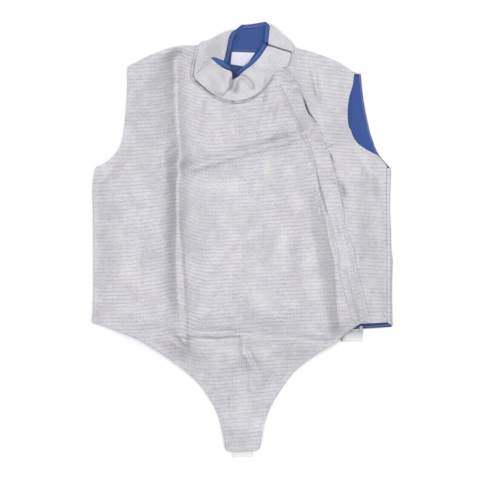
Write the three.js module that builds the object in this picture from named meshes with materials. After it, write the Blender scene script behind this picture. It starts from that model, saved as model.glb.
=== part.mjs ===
// A sleeveless fencing lame, laid flat with its front up. Millimetres, +Z up, +Y towards the collar.
// The origin is the middle of the footprint, on the surface that the garment lies on.
import * as THREE from "three";

// Cloth
const SHELL = 1.2; // metallic cloth of the back and the collar
const FRONT = 1.4; // metallic cloth and its lining, as one wall
const LINING = 1.0;
const BINDING = 0.8;
const ELASTIC = 1.1;
const SEAM = 0.3; // the gap between two pieces that touch

// Heights of the layers' undersides above the surface
const LINING_Z = SHELL + SEAM;
const FRONT_Z = LINING_Z + LINING + SEAM;
const CURVED_SEAM = 0.7; // the gap between two layers that follow the folds
const LAYER = FRONT + CURVED_SEAM;

// Body
const HEM_Y = -146; // hem at the side seams
const ARMPIT_Y = 126;
const SHOULDER_X = 200;
const SHOULDER_Y = 301;
const NECK_Y = 338; // where the shoulders meet the collar
const BACK_HEM_DIP = 18; // how far the back hem sags below the side seams
const TONGUE_TIP_Y = -371;

// Loft of the front over the back
const LOFT = 4;
const LOFT_REACH = 60; // distance from an edge at which the full loft is reached
const TONGUE_DROP = { top: -172, floor: -212, halfWidth: 130, fade: 45 };
const STRAP_RISE = { start: -306, full: -334 };

// Collar
const COLLAR_RISE = 8; // how far the collar's free edge stands off
const COLLAR_REACH = 52;
const BINDING_WIDTH = 5;

const cloth = (color, roughness, metalness = 0) => new THREE.MeshStandardMaterial({ color, roughness, metalness });
const SILVER = cloth(0xcfccd0, 0.55, 0.35);
const BLUE = cloth(0x3b5c9a, 0.85);
const WHITE = cloth(0xe9e9ec, 0.8);

// Outlines. Each row of a stretch is x, y; a corner stands wherever two stretches meet.
// share is the part of the wall's columns or rows that a stretch takes.
const SIDE_LEFT = [[-264, HEM_Y + 1], [-261, -100], [-261, 30], [-262, 90], [-257, ARMPIT_Y]];
const ARMHOLE_LEFT = [
  [-257, ARMPIT_Y], [-233, 140], [-213, 167], [-205, 209], [-201, 262], [-SHOULDER_X, SHOULDER_Y],
];
const SHOULDER_LEFT = [[-SHOULDER_X, SHOULDER_Y], [-161, 321], [-118, 336], [-80, NECK_Y]];
const SHOULDER_RIGHT = [[93, 335], [122, 328], [161, 314], [197, 290]];
const NECK_SIDE = [[-80, NECK_Y], [-82, 314], [-81, 287]];
const NECK_FRONT = [[-81, 287], [-73, 270], [-54, 255], [-12, 241], [32, 258], [52, 282], [68, 296]];
const NECK_BACK = [[-80, NECK_Y - 0.4], [-47, 331], [-16, 330], [24, 329], [60, 330], [92, 334.6]];
const BACK_HEM = [
  [-264, HEM_Y + 1], [-214, -154], [-108, -161], [0, HEM_Y - BACK_HEM_DIP], [102, -162], [215, -157], [263, -153],
];
const TONGUE = [
  { share: 0.2, rows: [[-264, HEM_Y + 1], [-234, -155], [-182, -176]] },
  { share: 0.2, rows: [[-182, -176], [-136, -204], [-84, -244], [-52, -288], [-38, -323], [-31, -358]] },
  { share: 0.05, rows: [[-31, -358], [-28, -368], [-16, TONGUE_TIP_Y - 1]] },
  { share: 0.1, rows: [[-16, TONGUE_TIP_Y - 1], [0, TONGUE_TIP_Y - 1], [22, TONGUE_TIP_Y + 2]] },
  { share: 0.05, rows: [[22, TONGUE_TIP_Y + 2], [29, TONGUE_TIP_Y + 5], [32, -356]] },
  { share: 0.2, rows: [[32, -356], [38, -323], [54, -281], [91, -232], [126, -204], [161, -183]] },
  { share: 0.2, rows: [[161, -183], [180, -166], [198, -153], [219, -148]] },
];
// Fly edges; rows are x, y from the hem up to the neck
const FLY_INNER = [
  [193, HEM_Y - 1], [173, -80], [165, -20], [144, 62], [127, 133], [108, 181], [82, 235], [63, 286],
];
const FLY_OUTER = [
  [227, HEM_Y], [201, -45], [186, 11], [175, 83], [153, 144], [131, 196], [111, 238], [80, 297],
];
const FLY_UNDERLAP = 9; // the front panel's own edge lies this far inside the band's free edge
const SIDE_UNDERLAP = 14; // the side front runs this far past the band's sewn edge, under the front panel
const TUCK_START = 74;
const TUCK_FADE = 52;
const FRONT_ARMHOLE_RIGHT = [
  [253, 124], [236, 146], [210, 160], [190, 187], [185, 225], [193, 262], [197, 290],
];
const BACK_ARMHOLE_RIGHT = [[260, 125], [236, 160], [222, 195], [213, 240], [209, 290]];

// Folds of the front: h is the height, left and right how far its flanks reach; rows are x, y
const FOLDS = [
  {
    h: 4.5, left: 13, right: 34,
    rows: [[-115, 345], [-116, 244], [-110, 142], [-113, 69], [-108, -36], [-103, -165]],
  },
  { h: -1.5, left: 9, right: 9, rows: [[-100, -162], [0, -160], [102, -168], [150, -173]] },
  { h: -2.2, left: 12, right: 12, rows: [[138, 312], [140, 279], [148, 245]] },
  { h: -1.6, left: 16, right: 16, rows: [[-47, 130], [40, 150], [115, 174]] },
  { h: 1.8, left: 9, right: 9, rows: [[70, 235], [52, 180]] },
  { h: 1.6, left: 8, right: 8, rows: [[48, 252], [36, 205]] },
  { h: 2.4, left: 14, right: 12, rows: [[214, 110], [196, 60], [204, -10]] },
  { h: -1.8, left: 20, right: 14, rows: [[140, 40], [158, -90]] },
  { h: 1.6, left: 22, right: 22, rows: [[-225, 90], [-215, -60]] },
  { h: 1.4, left: 26, right: 30, rows: [[30, 60], [20, -120]] },
  { h: 1.2, left: 10, right: 10, rows: [[-25, -200], [-15, -330]] },
  { h: 1.4, left: 12, right: 12, rows: [[40, -210], [14, -300]] },
];
const COLLAR_HOLLOW = { x: 2, y: 264, reach: 13, depth: 2.4 };

const smooth = (t) => THREE.MathUtils.smoothstep(t, 0, 1);

/** The way along a row of stretches, each a spline through its rows, as a function of 0 to 1. */
function edge(stretches) {
  const parts = stretches.map(({ rows, share }) => ({
    curve: new THREE.SplineCurve(rows.map(([x, y]) => new THREE.Vector2(x, y))),
    share,
  }));
  return (t) => {
    let start = 0;
    for (const [index, { curve, share }] of parts.entries()) {
      if (t <= start + share + 1e-9 || index === parts.length - 1) {
        return curve.getPointAt(THREE.MathUtils.clamp((t - start) / share, 0, 1));
      }
      start += share;
    }
  };
}

const line = (rows) => edge([{ share: 1, rows }]);
const shifted = (rows, dx, dy) => rows.map(([x, y]) => [x + dx, y + dy]);

/** Distance from a point to a chain of rows; its sign is positive to the right of a chain that runs down. */
function signedDistance(x, y, rows) {
  let best = Infinity;
  let side = 1;
  for (let i = 1; i < rows.length; i++) {
    const [ax, ay] = rows[i - 1];
    const [bx, by] = rows[i];
    const along = THREE.MathUtils.clamp(
      ((x - ax) * (bx - ax) + (y - ay) * (by - ay)) / ((bx - ax) ** 2 + (by - ay) ** 2), 0, 1);
    const distance = Math.hypot(x - ax - along * (bx - ax), y - ay - along * (by - ay));
    if (distance < best) {
      best = distance;
      side = Math.sign((ay - by) * (x - ax) + (bx - ax) * (y - ay)) || 1;
    }
  }
  return best * side;
}

/** x of a chain of rows that climbs in y. */
function xAt(rows, y) {
  const upper = rows.findIndex((row) => row[1] >= y);
  if (upper <= 0) return rows[upper === 0 ? 0 : rows.length - 1][0];
  const [ax, ay] = rows[upper - 1];
  const [bx, by] = rows[upper];
  return THREE.MathUtils.lerp(ax, bx, (y - ay) / (by - ay));
}

const BODY_EDGE = [
  ...SIDE_LEFT, ...ARMHOLE_LEFT, ...SHOULDER_LEFT, ...SHOULDER_RIGHT,
  ...[...FRONT_ARMHOLE_RIGHT].reverse(), [262, ARMPIT_Y], [262, HEM_Y],
];

/** Loft and folds of the front, which every layer of it shares. */
function bed(x, y) {
  const inside = Math.abs(signedDistance(x, y, BODY_EDGE));
  const nearHem = smooth((y - HEM_Y + 70) / 90);
  const loft = LOFT * smooth(inside / LOFT_REACH) * nearHem;
  let folds = 0;
  for (const { h, left, right, rows } of FOLDS) {
    const d = signedDistance(x, y, rows);
    folds += h * Math.exp(-((d / (d < 0 ? left : right)) ** 2));
  }
  return Math.max(0, loft + folds * smooth(inside / 22));
}

/** How far the front panel is raised where it overlaps the side front. */
const tuck = (x, y) => LAYER * smooth((x - xAt(FLY_INNER, y) + TUCK_START) / TUCK_FADE);

/** Height at which the tongue's underside lies: on the back, on the surface, or on its strap. */
function tongueZ(x, y) {
  const low = smooth((TONGUE_DROP.top - y) / (TONGUE_DROP.top - TONGUE_DROP.floor));
  const middle = smooth((TONGUE_DROP.halfWidth - Math.abs(x)) / TONGUE_DROP.fade);
  const strap = smooth((STRAP_RISE.start - y) / (STRAP_RISE.start - STRAP_RISE.full));
  return FRONT_Z * (1 - low * middle) + (2 * ELASTIC + 3 * SEAM) * strap;
}

const frontUnder = (x, y) => tongueZ(x, y) + tuck(x, y) + bed(x, y);
const sideUnder = (x, y) => FRONT_Z + bed(x, y);

/** Coons patch between four edges; bottom and top run left to right, left and right run upwards. */
function patch({ bottom, top, left, right }) {
  return (u, v) => {
    const corners = [bottom(0), bottom(1), top(0), top(1)];
    const point = new THREE.Vector2();
    for (const axis of ["x", "y"]) {
      const ruled = (1 - v) * bottom(u)[axis] + v * top(u)[axis] + (1 - u) * left(v)[axis] + u * right(v)[axis];
      const bilinear = (1 - v) * ((1 - u) * corners[0][axis] + u * corners[1][axis])
        + v * ((1 - u) * corners[2][axis] + u * corners[3][axis]);
      point[axis] = ruled - bilinear;
    }
    return point;
  };
}

/** A closed wall over a patch: its underside follows under(x, y, u, v) and its top lies thickness above. */
function wall(name, material, edges, columns, rows, thickness, under) {
  const at = patch(edges);
  const positions = [];
  for (const lift of [0, thickness]) {
    for (let j = 0; j <= rows; j++) {
      for (let i = 0; i <= columns; i++) {
        const u = i / columns;
        const v = j / rows;
        const { x, y } = at(u, v);
        positions.push(x, y, under(x, y, u, v) + lift);
      }
    }
  }
  const layer = (columns + 1) * (rows + 1);
  const id = (i, j, upper) => i + j * (columns + 1) + (upper ? layer : 0);
  const index = [];
  const quad = (a, b, c, d) => index.push(a, b, c, a, c, d);
  for (let j = 0; j < rows; j++) {
    for (let i = 0; i < columns; i++) {
      quad(id(i, j, true), id(i + 1, j, true), id(i + 1, j + 1, true), id(i, j + 1, true));
      quad(id(i, j), id(i, j + 1), id(i + 1, j + 1), id(i + 1, j));
    }
  }
  for (let i = 0; i < columns; i++) {
    quad(id(i, 0), id(i + 1, 0), id(i + 1, 0, true), id(i, 0, true));
    quad(id(i + 1, rows), id(i, rows), id(i, rows, true), id(i + 1, rows, true));
  }
  for (let j = 0; j < rows; j++) {
    quad(id(0, j + 1), id(0, j), id(0, j, true), id(0, j + 1, true));
    quad(id(columns, j), id(columns, j + 1), id(columns, j + 1, true), id(columns, j, true));
  }
  return mesh(name, material, positions, index);
}

function mesh(name, material, positions, index) {
  const geometry = new THREE.BufferGeometry();
  geometry.setAttribute("position", new THREE.Float32BufferAttribute(positions, 3));
  geometry.setIndex(index);
  geometry.computeVertexNormals();
  const part = new THREE.Mesh(geometry, material);
  part.name = name;
  return part;
}

/** A strip of cloth along a run of rows, offset to one side by its width. */
function strip(name, material, rows, width, thickness, under, steps) {
  const inner = line(rows);
  const outer = line(offset(rows, width));
  return wall(name, material, {
    bottom: inner, top: outer,
    left: (v) => inner(0).lerp(outer(0), v), right: (v) => inner(1).lerp(outer(1), v),
  }, steps, 1, thickness, under);
}

/** Rows moved to the left of their own direction. */
function offset(rows, distance) {
  return rows.map(([x, y], i) => {
    const [ax, ay] = rows[Math.max(i - 1, 0)];
    const [bx, by] = rows[Math.min(i + 1, rows.length - 1)];
    const length = Math.hypot(bx - ax, by - ay);
    return [x - (distance * (by - ay)) / length, y + (distance * (bx - ax)) / length];
  });
}

/** A flat strap folded back on itself, from its open end to the fold, as one closed solid. */
function foldedStrap(name, length, width, place) {
  const profile = new THREE.Shape();
  const top = 2 * ELASTIC + SEAM;
  profile.moveTo(0, 0);
  profile.lineTo(length - top / 2, 0);
  profile.absarc(length - top / 2, top / 2, top / 2, -Math.PI / 2, Math.PI / 2, false);
  profile.lineTo(0, top);
  profile.lineTo(0, top - ELASTIC);
  profile.lineTo(length - top / 2, top - ELASTIC);
  profile.absarc(length - top / 2, top / 2, SEAM / 2, Math.PI / 2, -Math.PI / 2, true);
  profile.lineTo(0, ELASTIC);
  profile.closePath();
  const geometry = new THREE.ExtrudeGeometry(profile, { depth: width, bevelEnabled: false, curveSegments: 6 });
  geometry.rotateX(Math.PI / 2);
  geometry.translate(0, width, 0);
  const part = new THREE.Mesh(geometry, WHITE);
  part.name = name;
  place(part);
  return part;
}

// Back and its lining, flat pieces cut round one outline

/** A flat piece cut to a closed outline of points. */
function flatPiece(name, material, points, z, thickness) {
  const geometry = new THREE.ExtrudeGeometry(new THREE.Shape(points), { depth: thickness, bevelEnabled: false });
  const part = new THREE.Mesh(geometry, material);
  part.name = name;
  part.position.z = z;
  return part;
}

/** Points along rows in order, without the last one, so that stretches can follow each other. */
function along(rows, steps) {
  const curve = new THREE.SplineCurve(rows.map(([x, y]) => new THREE.Vector2(x, y)));
  return curve.getSpacedPoints(steps).slice(0, -1);
}

const backwards = (rows) => [...rows].reverse();

/** A closed outline moved inwards; its points run anticlockwise. */
function inset(points, distance) {
  return points.map((point, i) => {
    const before = points[(i + points.length - 1) % points.length];
    const after = points[(i + 1) % points.length];
    const way = after.clone().sub(before).normalize();
    return new THREE.Vector2(point.x - way.y * distance, point.y + way.x * distance);
  });
}

const backOutline = [
  ...along(BACK_HEM, 16),
  ...along([[263, -153], [262, -50], [259, 60], [260, 125]], 6),
  ...along(BACK_ARMHOLE_RIGHT, 10),
  ...along([[209, 290], ...backwards(SHOULDER_RIGHT).slice(1, -1), [93, 334.4]], 6),
  ...along(shifted(backwards(NECK_BACK), 0, -SEAM), 10),
  ...along(shifted(backwards(SHOULDER_LEFT), 0, -0.7), 8),
  ...along(backwards(ARMHOLE_LEFT), 12),
  ...along(backwards(SIDE_LEFT), 6),
];
const LINING_INSET = 1.2;
const back = flatPiece("back_panel", SILVER, backOutline, 0, SHELL);
const backLining = flatPiece("back_lining", BLUE, inset(backOutline, LINING_INSET), LINING_Z, LINING);

// Front panel with its tongue

const front = wall("front_panel", SILVER, {
  left: edge([{ share: 0.5, rows: SIDE_LEFT }, { share: 0.5, rows: ARMHOLE_LEFT }]),
  right: line(shifted(FLY_OUTER, -FLY_UNDERLAP, 0).map(([x, y], i, all) =>
    (i === 0 ? [219, -148] : i === all.length - 1 ? [68, 296] : [x, y]))),
  top: edge([{ share: 0.2, rows: SHOULDER_LEFT }, { share: 0.1, rows: NECK_SIDE }, { share: 0.7, rows: NECK_FRONT }]),
  bottom: edge(TONGUE),
}, 40, 34, FRONT, frontUnder);

// Side front, under the front panel's edge

const sideFront = wall("side_front", SILVER, {
  left: line([[193 - SIDE_UNDERLAP, HEM_Y - 4], ...shifted(FLY_INNER, -SIDE_UNDERLAP, 0).slice(1, -1), [56, 283]]),
  right: edge([
    { share: 0.5, rows: [[253.5, HEM_Y + 1], [253, -100], [253, 0], [252, 80], [253, 124]] },
    { share: 0.5, rows: FRONT_ARMHOLE_RIGHT },
  ]),
  top: edge([{ share: 0.4, rows: [[56, 283], [78, 299], [90, 320], [93, 335]] }, { share: 0.6, rows: SHOULDER_RIGHT }]),
  bottom: line([[193 - SIDE_UNDERLAP, HEM_Y - 4], [215, -149], [240, -147.5], [253.5, HEM_Y + 1]]),
}, 10, 24, FRONT, sideUnder);

// Fly band over both

const flyBand = wall("fly_band", SILVER, {
  left: line(FLY_INNER), right: line(FLY_OUTER),
  bottom: line([[193, HEM_Y - 1], [227, HEM_Y]]), top: line([[63, 286], [80, 297]]),
}, 4, 26, FRONT, (x, y) => sideUnder(x, y) + 2 * LAYER);

// The back's edge, wrapped round to the front

const sideWrap = wall("side_wrap", SILVER, {
  left: line([[253.8, HEM_Y + 1], [253.3, -100], [253.3, 0], [252.3, 80], [253.3, 124]]),
  right: line([[264, -151], [262, -80], [260.5, 0], [259, 75], [260, 125]]),
  bottom: line([[253.8, HEM_Y + 1], [264, -151]]), top: line([[253.3, 124], [260, 125]]),
}, 3, 16, SHELL, (x, y, u) => FRONT_Z + 0.2 + 0.5 * Math.sin(Math.PI * u));

// Collar

const COLLAR_SEAM = [...NECK_SIDE, ...NECK_FRONT.slice(1), [79, 301]];

/** The height of the collar's layers, which grows away from the neck seam. */
function collarBed(x, y) {
  const away = Math.abs(signedDistance(x, y, COLLAR_SEAM));
  const off = Math.hypot(x - COLLAR_HOLLOW.x, y - COLLAR_HOLLOW.y) / COLLAR_HOLLOW.reach;
  const hollow = COLLAR_HOLLOW.depth * Math.exp(-(off ** 2));
  const lower = 0.45 + 0.55 * smooth((110 - x) / 60); // the collar lies flatter towards the right shoulder
  return bed(x, y) * (1 - smooth(away / 20)) + COLLAR_RISE * smooth(away / COLLAR_REACH) * lower - hollow;
}

const backCollarOutline = [
  ...along(shifted(NECK_BACK, 0, SEAM), 10),
  ...along([[92, 335], [92, 337.5]], 1),
  ...along([[92, 337.5], [68, 360], [45, 381]], 6),
  ...along([[45, 381], [-2, 376], [-9, 371]], 4),
  ...along([[-9, 371], [-46, 356], [-79.5, 340.5]], 6),
];
const backCollar = flatPiece("back_collar", SILVER, backCollarOutline, 0, SHELL);
const collarLining = flatPiece("collar_lining", BLUE, inset(backCollarOutline, 0.4), LINING_Z, LINING);

const collarSide = wall("collar_side", SILVER, {
  left: line(shifted(backwards(NECK_SIDE), 0.7, 1.5)),
  right: line([[-31, 308], [-24, 326], [-17, 346], [-8, 369.5]]),
  bottom: line([[-80.3, 288.5], [-70, 291], [-52, 298], [-31, 308]]),
  top: line([[-79.3, 339.5], [-46, 355], [-8, 369.5]]),
}, 8, 8, FRONT - 0.1, (x, y) => FRONT_Z + collarBed(x, y));

const SEAM_STANDOFF = 0.5; // the collar starts this far inside the neck seam
const frontCollar = wall("front_collar", SILVER, {
  bottom: line([...shifted(NECK_FRONT, 0, SEAM_STANDOFF), [79, 301.5]]),
  top: edge([
    { share: 0.3, rows: [[-51, 318], [-35, 305], [-18, 293]] },
    { share: 0.1, rows: [[-18, 293], [-15, 283], [-11, 273]] },
    { share: 0.4, rows: [[-11, 273], [2, 288], [19, 303], [35, 321], [47, 340]] },
    { share: 0.2, rows: [[47, 340], [66, 334], [84, 328]] },
  ]),
  left: line([[-81, 287.5], [-72, 291], [-64, 305], [-51, 318]]),
  right: line([[79, 301.5], [85, 316], [84, 328]]),
}, 30, 7, FRONT, (x, y) => {
  const away = Math.abs(signedDistance(x, y, COLLAR_SEAM));
  return FRONT_Z + Math.max(tuck(x, y), LAYER * smooth(away / 6)) + collarBed(x, y);
});

const collarReturn = wall("collar_return", SILVER, {
  left: line([[54, 322], [48, 340], [49, 378]]),
  right: line([[85, 318], [91, 337], [70, 358], [51, 377]]),
  bottom: line([[54, 322], [70, 318], [85, 318]]),
  top: line([[49, 378], [51, 377]]),
}, 6, 10, FRONT, (x, y) => FRONT_Z + collarBed(x, y));

// Bindings stand just outside the collar's free edges
const bindings = [
  strip("binding_side", BLUE, [[-7.4, 369], [-16.4, 346], [-23.4, 326], [-30, 309]], BINDING_WIDTH, BINDING,
    (x, y) => FRONT_Z + 0.3 + collarBed(x, y), 8),
  strip("binding_flap", BLUE, [[-51, 318.6], [-35, 305.7], [-17.6, 293.8]], BINDING_WIDTH * 0.8, BINDING,
    (x, y) => FRONT_Z + LAYER + 0.2 + collarBed(x, y), 6),
  strip("binding_front", BLUE, [[1.6, 289], [18.6, 303.6], [34.4, 321.4], [46, 340]], BINDING_WIDTH, BINDING,
    (x, y) => FRONT_Z + LAYER + 0.2 + collarBed(x, y), 8),
  strip("binding_return", BLUE, [[47.4, 344], [48.3, 374]], BINDING_WIDTH, BINDING,
    (x, y) => FRONT_Z + 0.3 + collarBed(x, y), 4),
  strip("binding_top", BLUE, [[40.5, 378.8], [2, 374]], BINDING_WIDTH, BINDING, () => FRONT_Z, 4),
];

const label = wall("neck_label", WHITE, {
  bottom: line([[-20, 306], [7, 301]]), top: line([[-18, 327.5], [23, 326]]),
  left: line([[-20, 306], [-18, 327.5]]), right: line([[7, 301], [23, 326]]),
}, 4, 3, 0.6, () => FRONT_Z);

// Elastics

const tongueElastic = foldedStrap("tongue_elastic", 42, 37, (part) => {
  part.rotation.z = -Math.PI / 2;
  part.position.set(-18, -339, 0);
});
const hemElastic = foldedStrap("hem_elastic", 32, 18.5, (part) => part.position.set(180, -178.5, 0));
const hemTab = new THREE.Mesh(new THREE.BoxGeometry(5, 10.5, BINDING), WHITE);
hemTab.name = "hem_tab";
hemTab.position.set(208, -156.6, FRONT_Z + BINDING / 2);

const lame = new THREE.Group();
lame.name = "fencing_lame";
lame.add(back, backLining, front, sideFront, flyBand, sideWrap, backCollar, collarLining, collarSide, frontCollar,
  collarReturn, ...bindings, label, tongueElastic, hemElastic, hemTab);

export default lame;
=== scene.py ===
"""A sleeveless fencing lame laid flat with its front up.

Silver metallic cloth outside, blue lining inside, white elastics at the tongue and the hem.
Tables are in millimetres, X to the right, Y towards the collar, Z up; meshes are in metres.
"""

import logging
import math
from collections.abc import Callable, Sequence
from dataclasses import dataclass, field
from enum import Enum

import bmesh
import bpy
import numpy as np
from mathutils import Euler, Matrix, Vector


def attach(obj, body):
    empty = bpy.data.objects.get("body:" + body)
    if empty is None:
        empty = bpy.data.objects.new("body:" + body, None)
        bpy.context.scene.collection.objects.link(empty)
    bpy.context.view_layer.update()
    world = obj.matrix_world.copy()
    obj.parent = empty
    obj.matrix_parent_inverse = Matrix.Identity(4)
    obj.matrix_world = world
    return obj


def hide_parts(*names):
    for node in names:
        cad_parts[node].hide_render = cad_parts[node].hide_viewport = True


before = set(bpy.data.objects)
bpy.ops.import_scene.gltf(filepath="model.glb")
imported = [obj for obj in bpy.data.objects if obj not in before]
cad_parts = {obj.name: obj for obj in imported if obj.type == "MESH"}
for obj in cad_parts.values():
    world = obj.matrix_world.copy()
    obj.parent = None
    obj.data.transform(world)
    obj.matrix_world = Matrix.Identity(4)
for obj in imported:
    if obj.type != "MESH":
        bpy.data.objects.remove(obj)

LOG = logging.getLogger("lame")
MM = 0.001
Rows = Sequence[tuple[float, float]]
Array = np.ndarray
Surface = Callable[[Array, Array], Array]

# Cloth, in millimetres
SHELL = 1.2
FRONT = 1.4
LINING = 1.0
BINDING = 0.8
ELASTIC = 1.1
SEAM = 0.3
CURVED_SEAM = 0.7

# Undersides of the layers
LINING_Z = SHELL + SEAM
FRONT_Z = LINING_Z + LINING + SEAM
LAYER = FRONT + CURVED_SEAM

# Body
HEM_Y = -146.0
ARMPIT_Y = 126.0
SHOULDER_X = 200.0
SHOULDER_Y = 301.0
NECK_Y = 338.0
BACK_HEM_DIP = 18.0
TONGUE_TIP_Y = -371.0

# Photograph
PIXEL = 1.75  # millimetres of cloth for one pixel
FRAME_PIXELS = 480
FRAME_CENTRE = (-3.5, -1.3)


class Slot(Enum):
    """Names of the finishes."""

    SILVER = "silver_cloth"
    LINING = "blue_lining"
    BINDING = "blue_binding"
    LABEL = "white_label"
    ELASTIC = "white_elastic"


class Grain(Enum):
    """How the weave's lines run on a panel."""

    FRONT = "bent by the long fold"
    SIDE = "falling towards the armhole"
    BAND = "along the fly"
    COLLAR = "on the bias"
    STRAIGHT = "straight"


# Outlines: rows are x, y
SIDE_LEFT: Rows = [
    (-262.3, HEM_Y + 1), (-259.4, -100), (-259.4, 30), (-260.5, 90), (-255.2, ARMPIT_Y),
]
ARMHOLE_LEFT: Rows = [
    (-255.2, ARMPIT_Y), (-231.5, 138.4), (-210.8, 166), (-203.6, 209), (-199.8, 262),
    (-SHOULDER_X, SHOULDER_Y),
]
SHOULDER_LEFT: Rows = [(-SHOULDER_X, SHOULDER_Y), (-161, 321), (-118, 336), (-80, 338.3), (-74, 340)]
SHOULDER_RIGHT: Rows = [(93, 335), (122, 328), (161, 314.4), (181, 303.6), (198.6, 292)]
NECK_SIDE: Rows = [(-74, 340), (-78, 325), (-82, 309), (-85, 287)]
NECK_FRONT: Rows = [
    (-85, 287), (-79.5, 277), (-59.5, 260), (-46, 250.7), (-26, 242.8), (-9, 241.4), (14, 246),
    (34, 260), (51.5, 281), (59.5, 293), (68, 298),
]
NECK_BACK: Rows = [(-75, NECK_Y + 1.2), (-47, 331), (-16, 330), (24, 329), (60, 330), (92, 334.6)]
BACK_HEM: Rows = [
    (-262.3, HEM_Y + 1), (-214, -154), (-108, -161), (0, HEM_Y - BACK_HEM_DIP), (102, -162),
    (215, -157), (263, -153),
]
BACK_SIDE_RIGHT: Rows = [
    (262.5, -153), (261.5, -92), (262.8, -38), (260.6, -20), (259.6, 14), (258.4, 40), (258.3, 70),
    (259.4, 125),
]
BACK_ARMHOLE_RIGHT: Rows = [
    (259.4, 125), (246.5, 139.5), (236.4, 154), (229, 173.5), (223.5, 191.5), (216, 227), (212, 253),
    (209.5, 277), (208.8, 292),
]
FRONT_ARMHOLE_RIGHT: Rows = [
    (253, 128), (247, 136), (240.5, 143.5), (235, 147.5), (217, 157), (204, 166), (198.5, 172.5),
    (193, 181.5), (190.7, 189.5), (187, 196), (185.5, 202.5), (184.6, 217), (185.2, 232),
    (186.6, 244.5), (189.5, 256), (192.7, 266), (194.3, 274), (196.4, 290.6),
]
FLY_INNER: Rows = [
    (193, HEM_Y - 1), (173, -80), (165, -20), (144, 62), (127, 133), (108, 181), (82, 235), (63, 286),
]
FLY_OUTER: Rows = [
    (227, HEM_Y), (201, -45), (186, 11), (175, 83), (153, 144), (131, 196), (111, 238), (80, 297),
]
FLY_SEWN: Rows = [
    (65, 273), (72, 258), (84, 233), (95, 212), (111, 182), (121, 157), (129, 126), (136, 90),
    (145, 60), (154, 29), (163, -3), (168, -21), (169, -57), (175, -80), (180, -101), (186, -119),
    (192, -146),
]
FLY_FREE: Rows = [
    (79, 300), (97, 271), (105, 249), (114, 221), (128.5, 203.5), (136, 192), (145, 167), (154, 147),
    (166, 104), (172, 78), (176, 57), (181, 25), (189, 0), (195, -17), (200, -46), (207, -74),
    (213, -97), (218, -118), (226, -145),
]
FLY_UNDERLAP = 9.0
SIDE_UNDERLAP = 14.0
TUCK_START = 46.0
TUCK_FADE = 28.0
COLLAR_SEAM: Rows = [*NECK_SIDE, *NECK_FRONT[1:], (79, 301)]

# How far the fly's free edge stands up: rows of y and height
FLY_LIFT: Rows = [
    (-146, -0.4), (-100, -1.1), (-60, -0.9), (-20, -1.2), (6, -1.6), (22, -1.9), (40, -0.8), (60, 0.6),
    (76, 1.4), (94, 1.6), (106, 0.2), (122, -0.4), (134, -0.1), (143, 0.8), (152, -0.2), (160, -0.9),
    (168, 0.6), (175, -1.7), (190, -1.9), (199, -0.4), (210, 2.0), (236, 3.0), (254, 1.0), (262, -0.8),
    (271, 0.5), (279, -0.6), (300, -0.6),
]
# Dips of the side front beside the fly's free edge: depth, middle y and reach
FLY_DIPS = ((2.6, 226, 20), (0.9, 272, 7), (3.2, 84, 18), (1.6, 143, 9))
COLLAR_LIFT = 0.8
COLLAR_RISE = 8.0
COLLAR_REACH = 52.0
SEAM_STANDOFF = 0.5

# Hem of the front with the tongue: (share of the columns, rows of x, y)
TONGUE: list[tuple[float, Rows]] = [
    (0.2, [(-262.3, HEM_Y + 1), (-234, -153.8), (-182, -173.5)]),
    (0.2, [(-182, -173.5), (-136, -202), (-84, -244), (-51.5, -288), (-37, -323), (-29.5, -358)]),
    (0.05, [(-29.5, -358), (-27.6, -367.5), (-20, TONGUE_TIP_Y + 0.4)]),
    (0.1, [(-20, TONGUE_TIP_Y + 0.4), (0, TONGUE_TIP_Y + 0.6), (22, TONGUE_TIP_Y + 2)]),
    (0.05, [(22, TONGUE_TIP_Y + 2), (29, TONGUE_TIP_Y + 5), (32, -356)]),
    (0.2, [(32, -356), (38.5, -323), (55.5, -283), (91, -232), (126, -202.2), (161, -181.3)]),
    (0.2, [(161, -181.3), (178.5, -167), (194.3, -155), (207, -147), (219, -145.5)]),
]


@dataclass(frozen=True)
class Fold:
    """A ridge, or a trough where its height is negative, along rows of x, y.

    The flanks are told apart by the side of a chain that runs down: left and right as seen from the front.

    Attributes:
        height: how far it stands up, in millimetres.
        left: reach of its left flank.
        right: reach of its right flank.
        rows: its crest.
    """

    height: float
    left: float
    right: float
    rows: Rows


# The garment's main folds, as in the solids
MAIN_FOLDS: list[Fold] = [
    Fold(-1.8, 9, 16, [(-100, -152), (0, -150), (102, -159), (150, -166)]),
    Fold(-1.0, 10, 10, [(124, 300), (130, 270), (140, 245)]),
    Fold(-2.1, 3.5, 6, [(122, 317), (123, 300), (125, 282), (129, 262), (133, 250)]),
    Fold(-1.6, 16, 16, [(-47, 130), (40, 150), (115, 174)]),
    Fold(1.8, 9, 9, [(70, 235), (52, 180)]),
    Fold(1.6, 8, 8, [(48, 252), (36, 205)]),
    Fold(1.3, 22, 20, [(214, 110), (198, 60), (204, -10)]),
    Fold(1.0, 26, 26, [(-225, 90), (-215, -60)]),
    Fold(1.4, 26, 30, [(30, 60), (20, -120)]),
    Fold(1.2, 10, 10, [(-25, -200), (-15, -330)]),
    Fold(1.4, 12, 12, [(40, -210), (14, -300)]),
]

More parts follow.
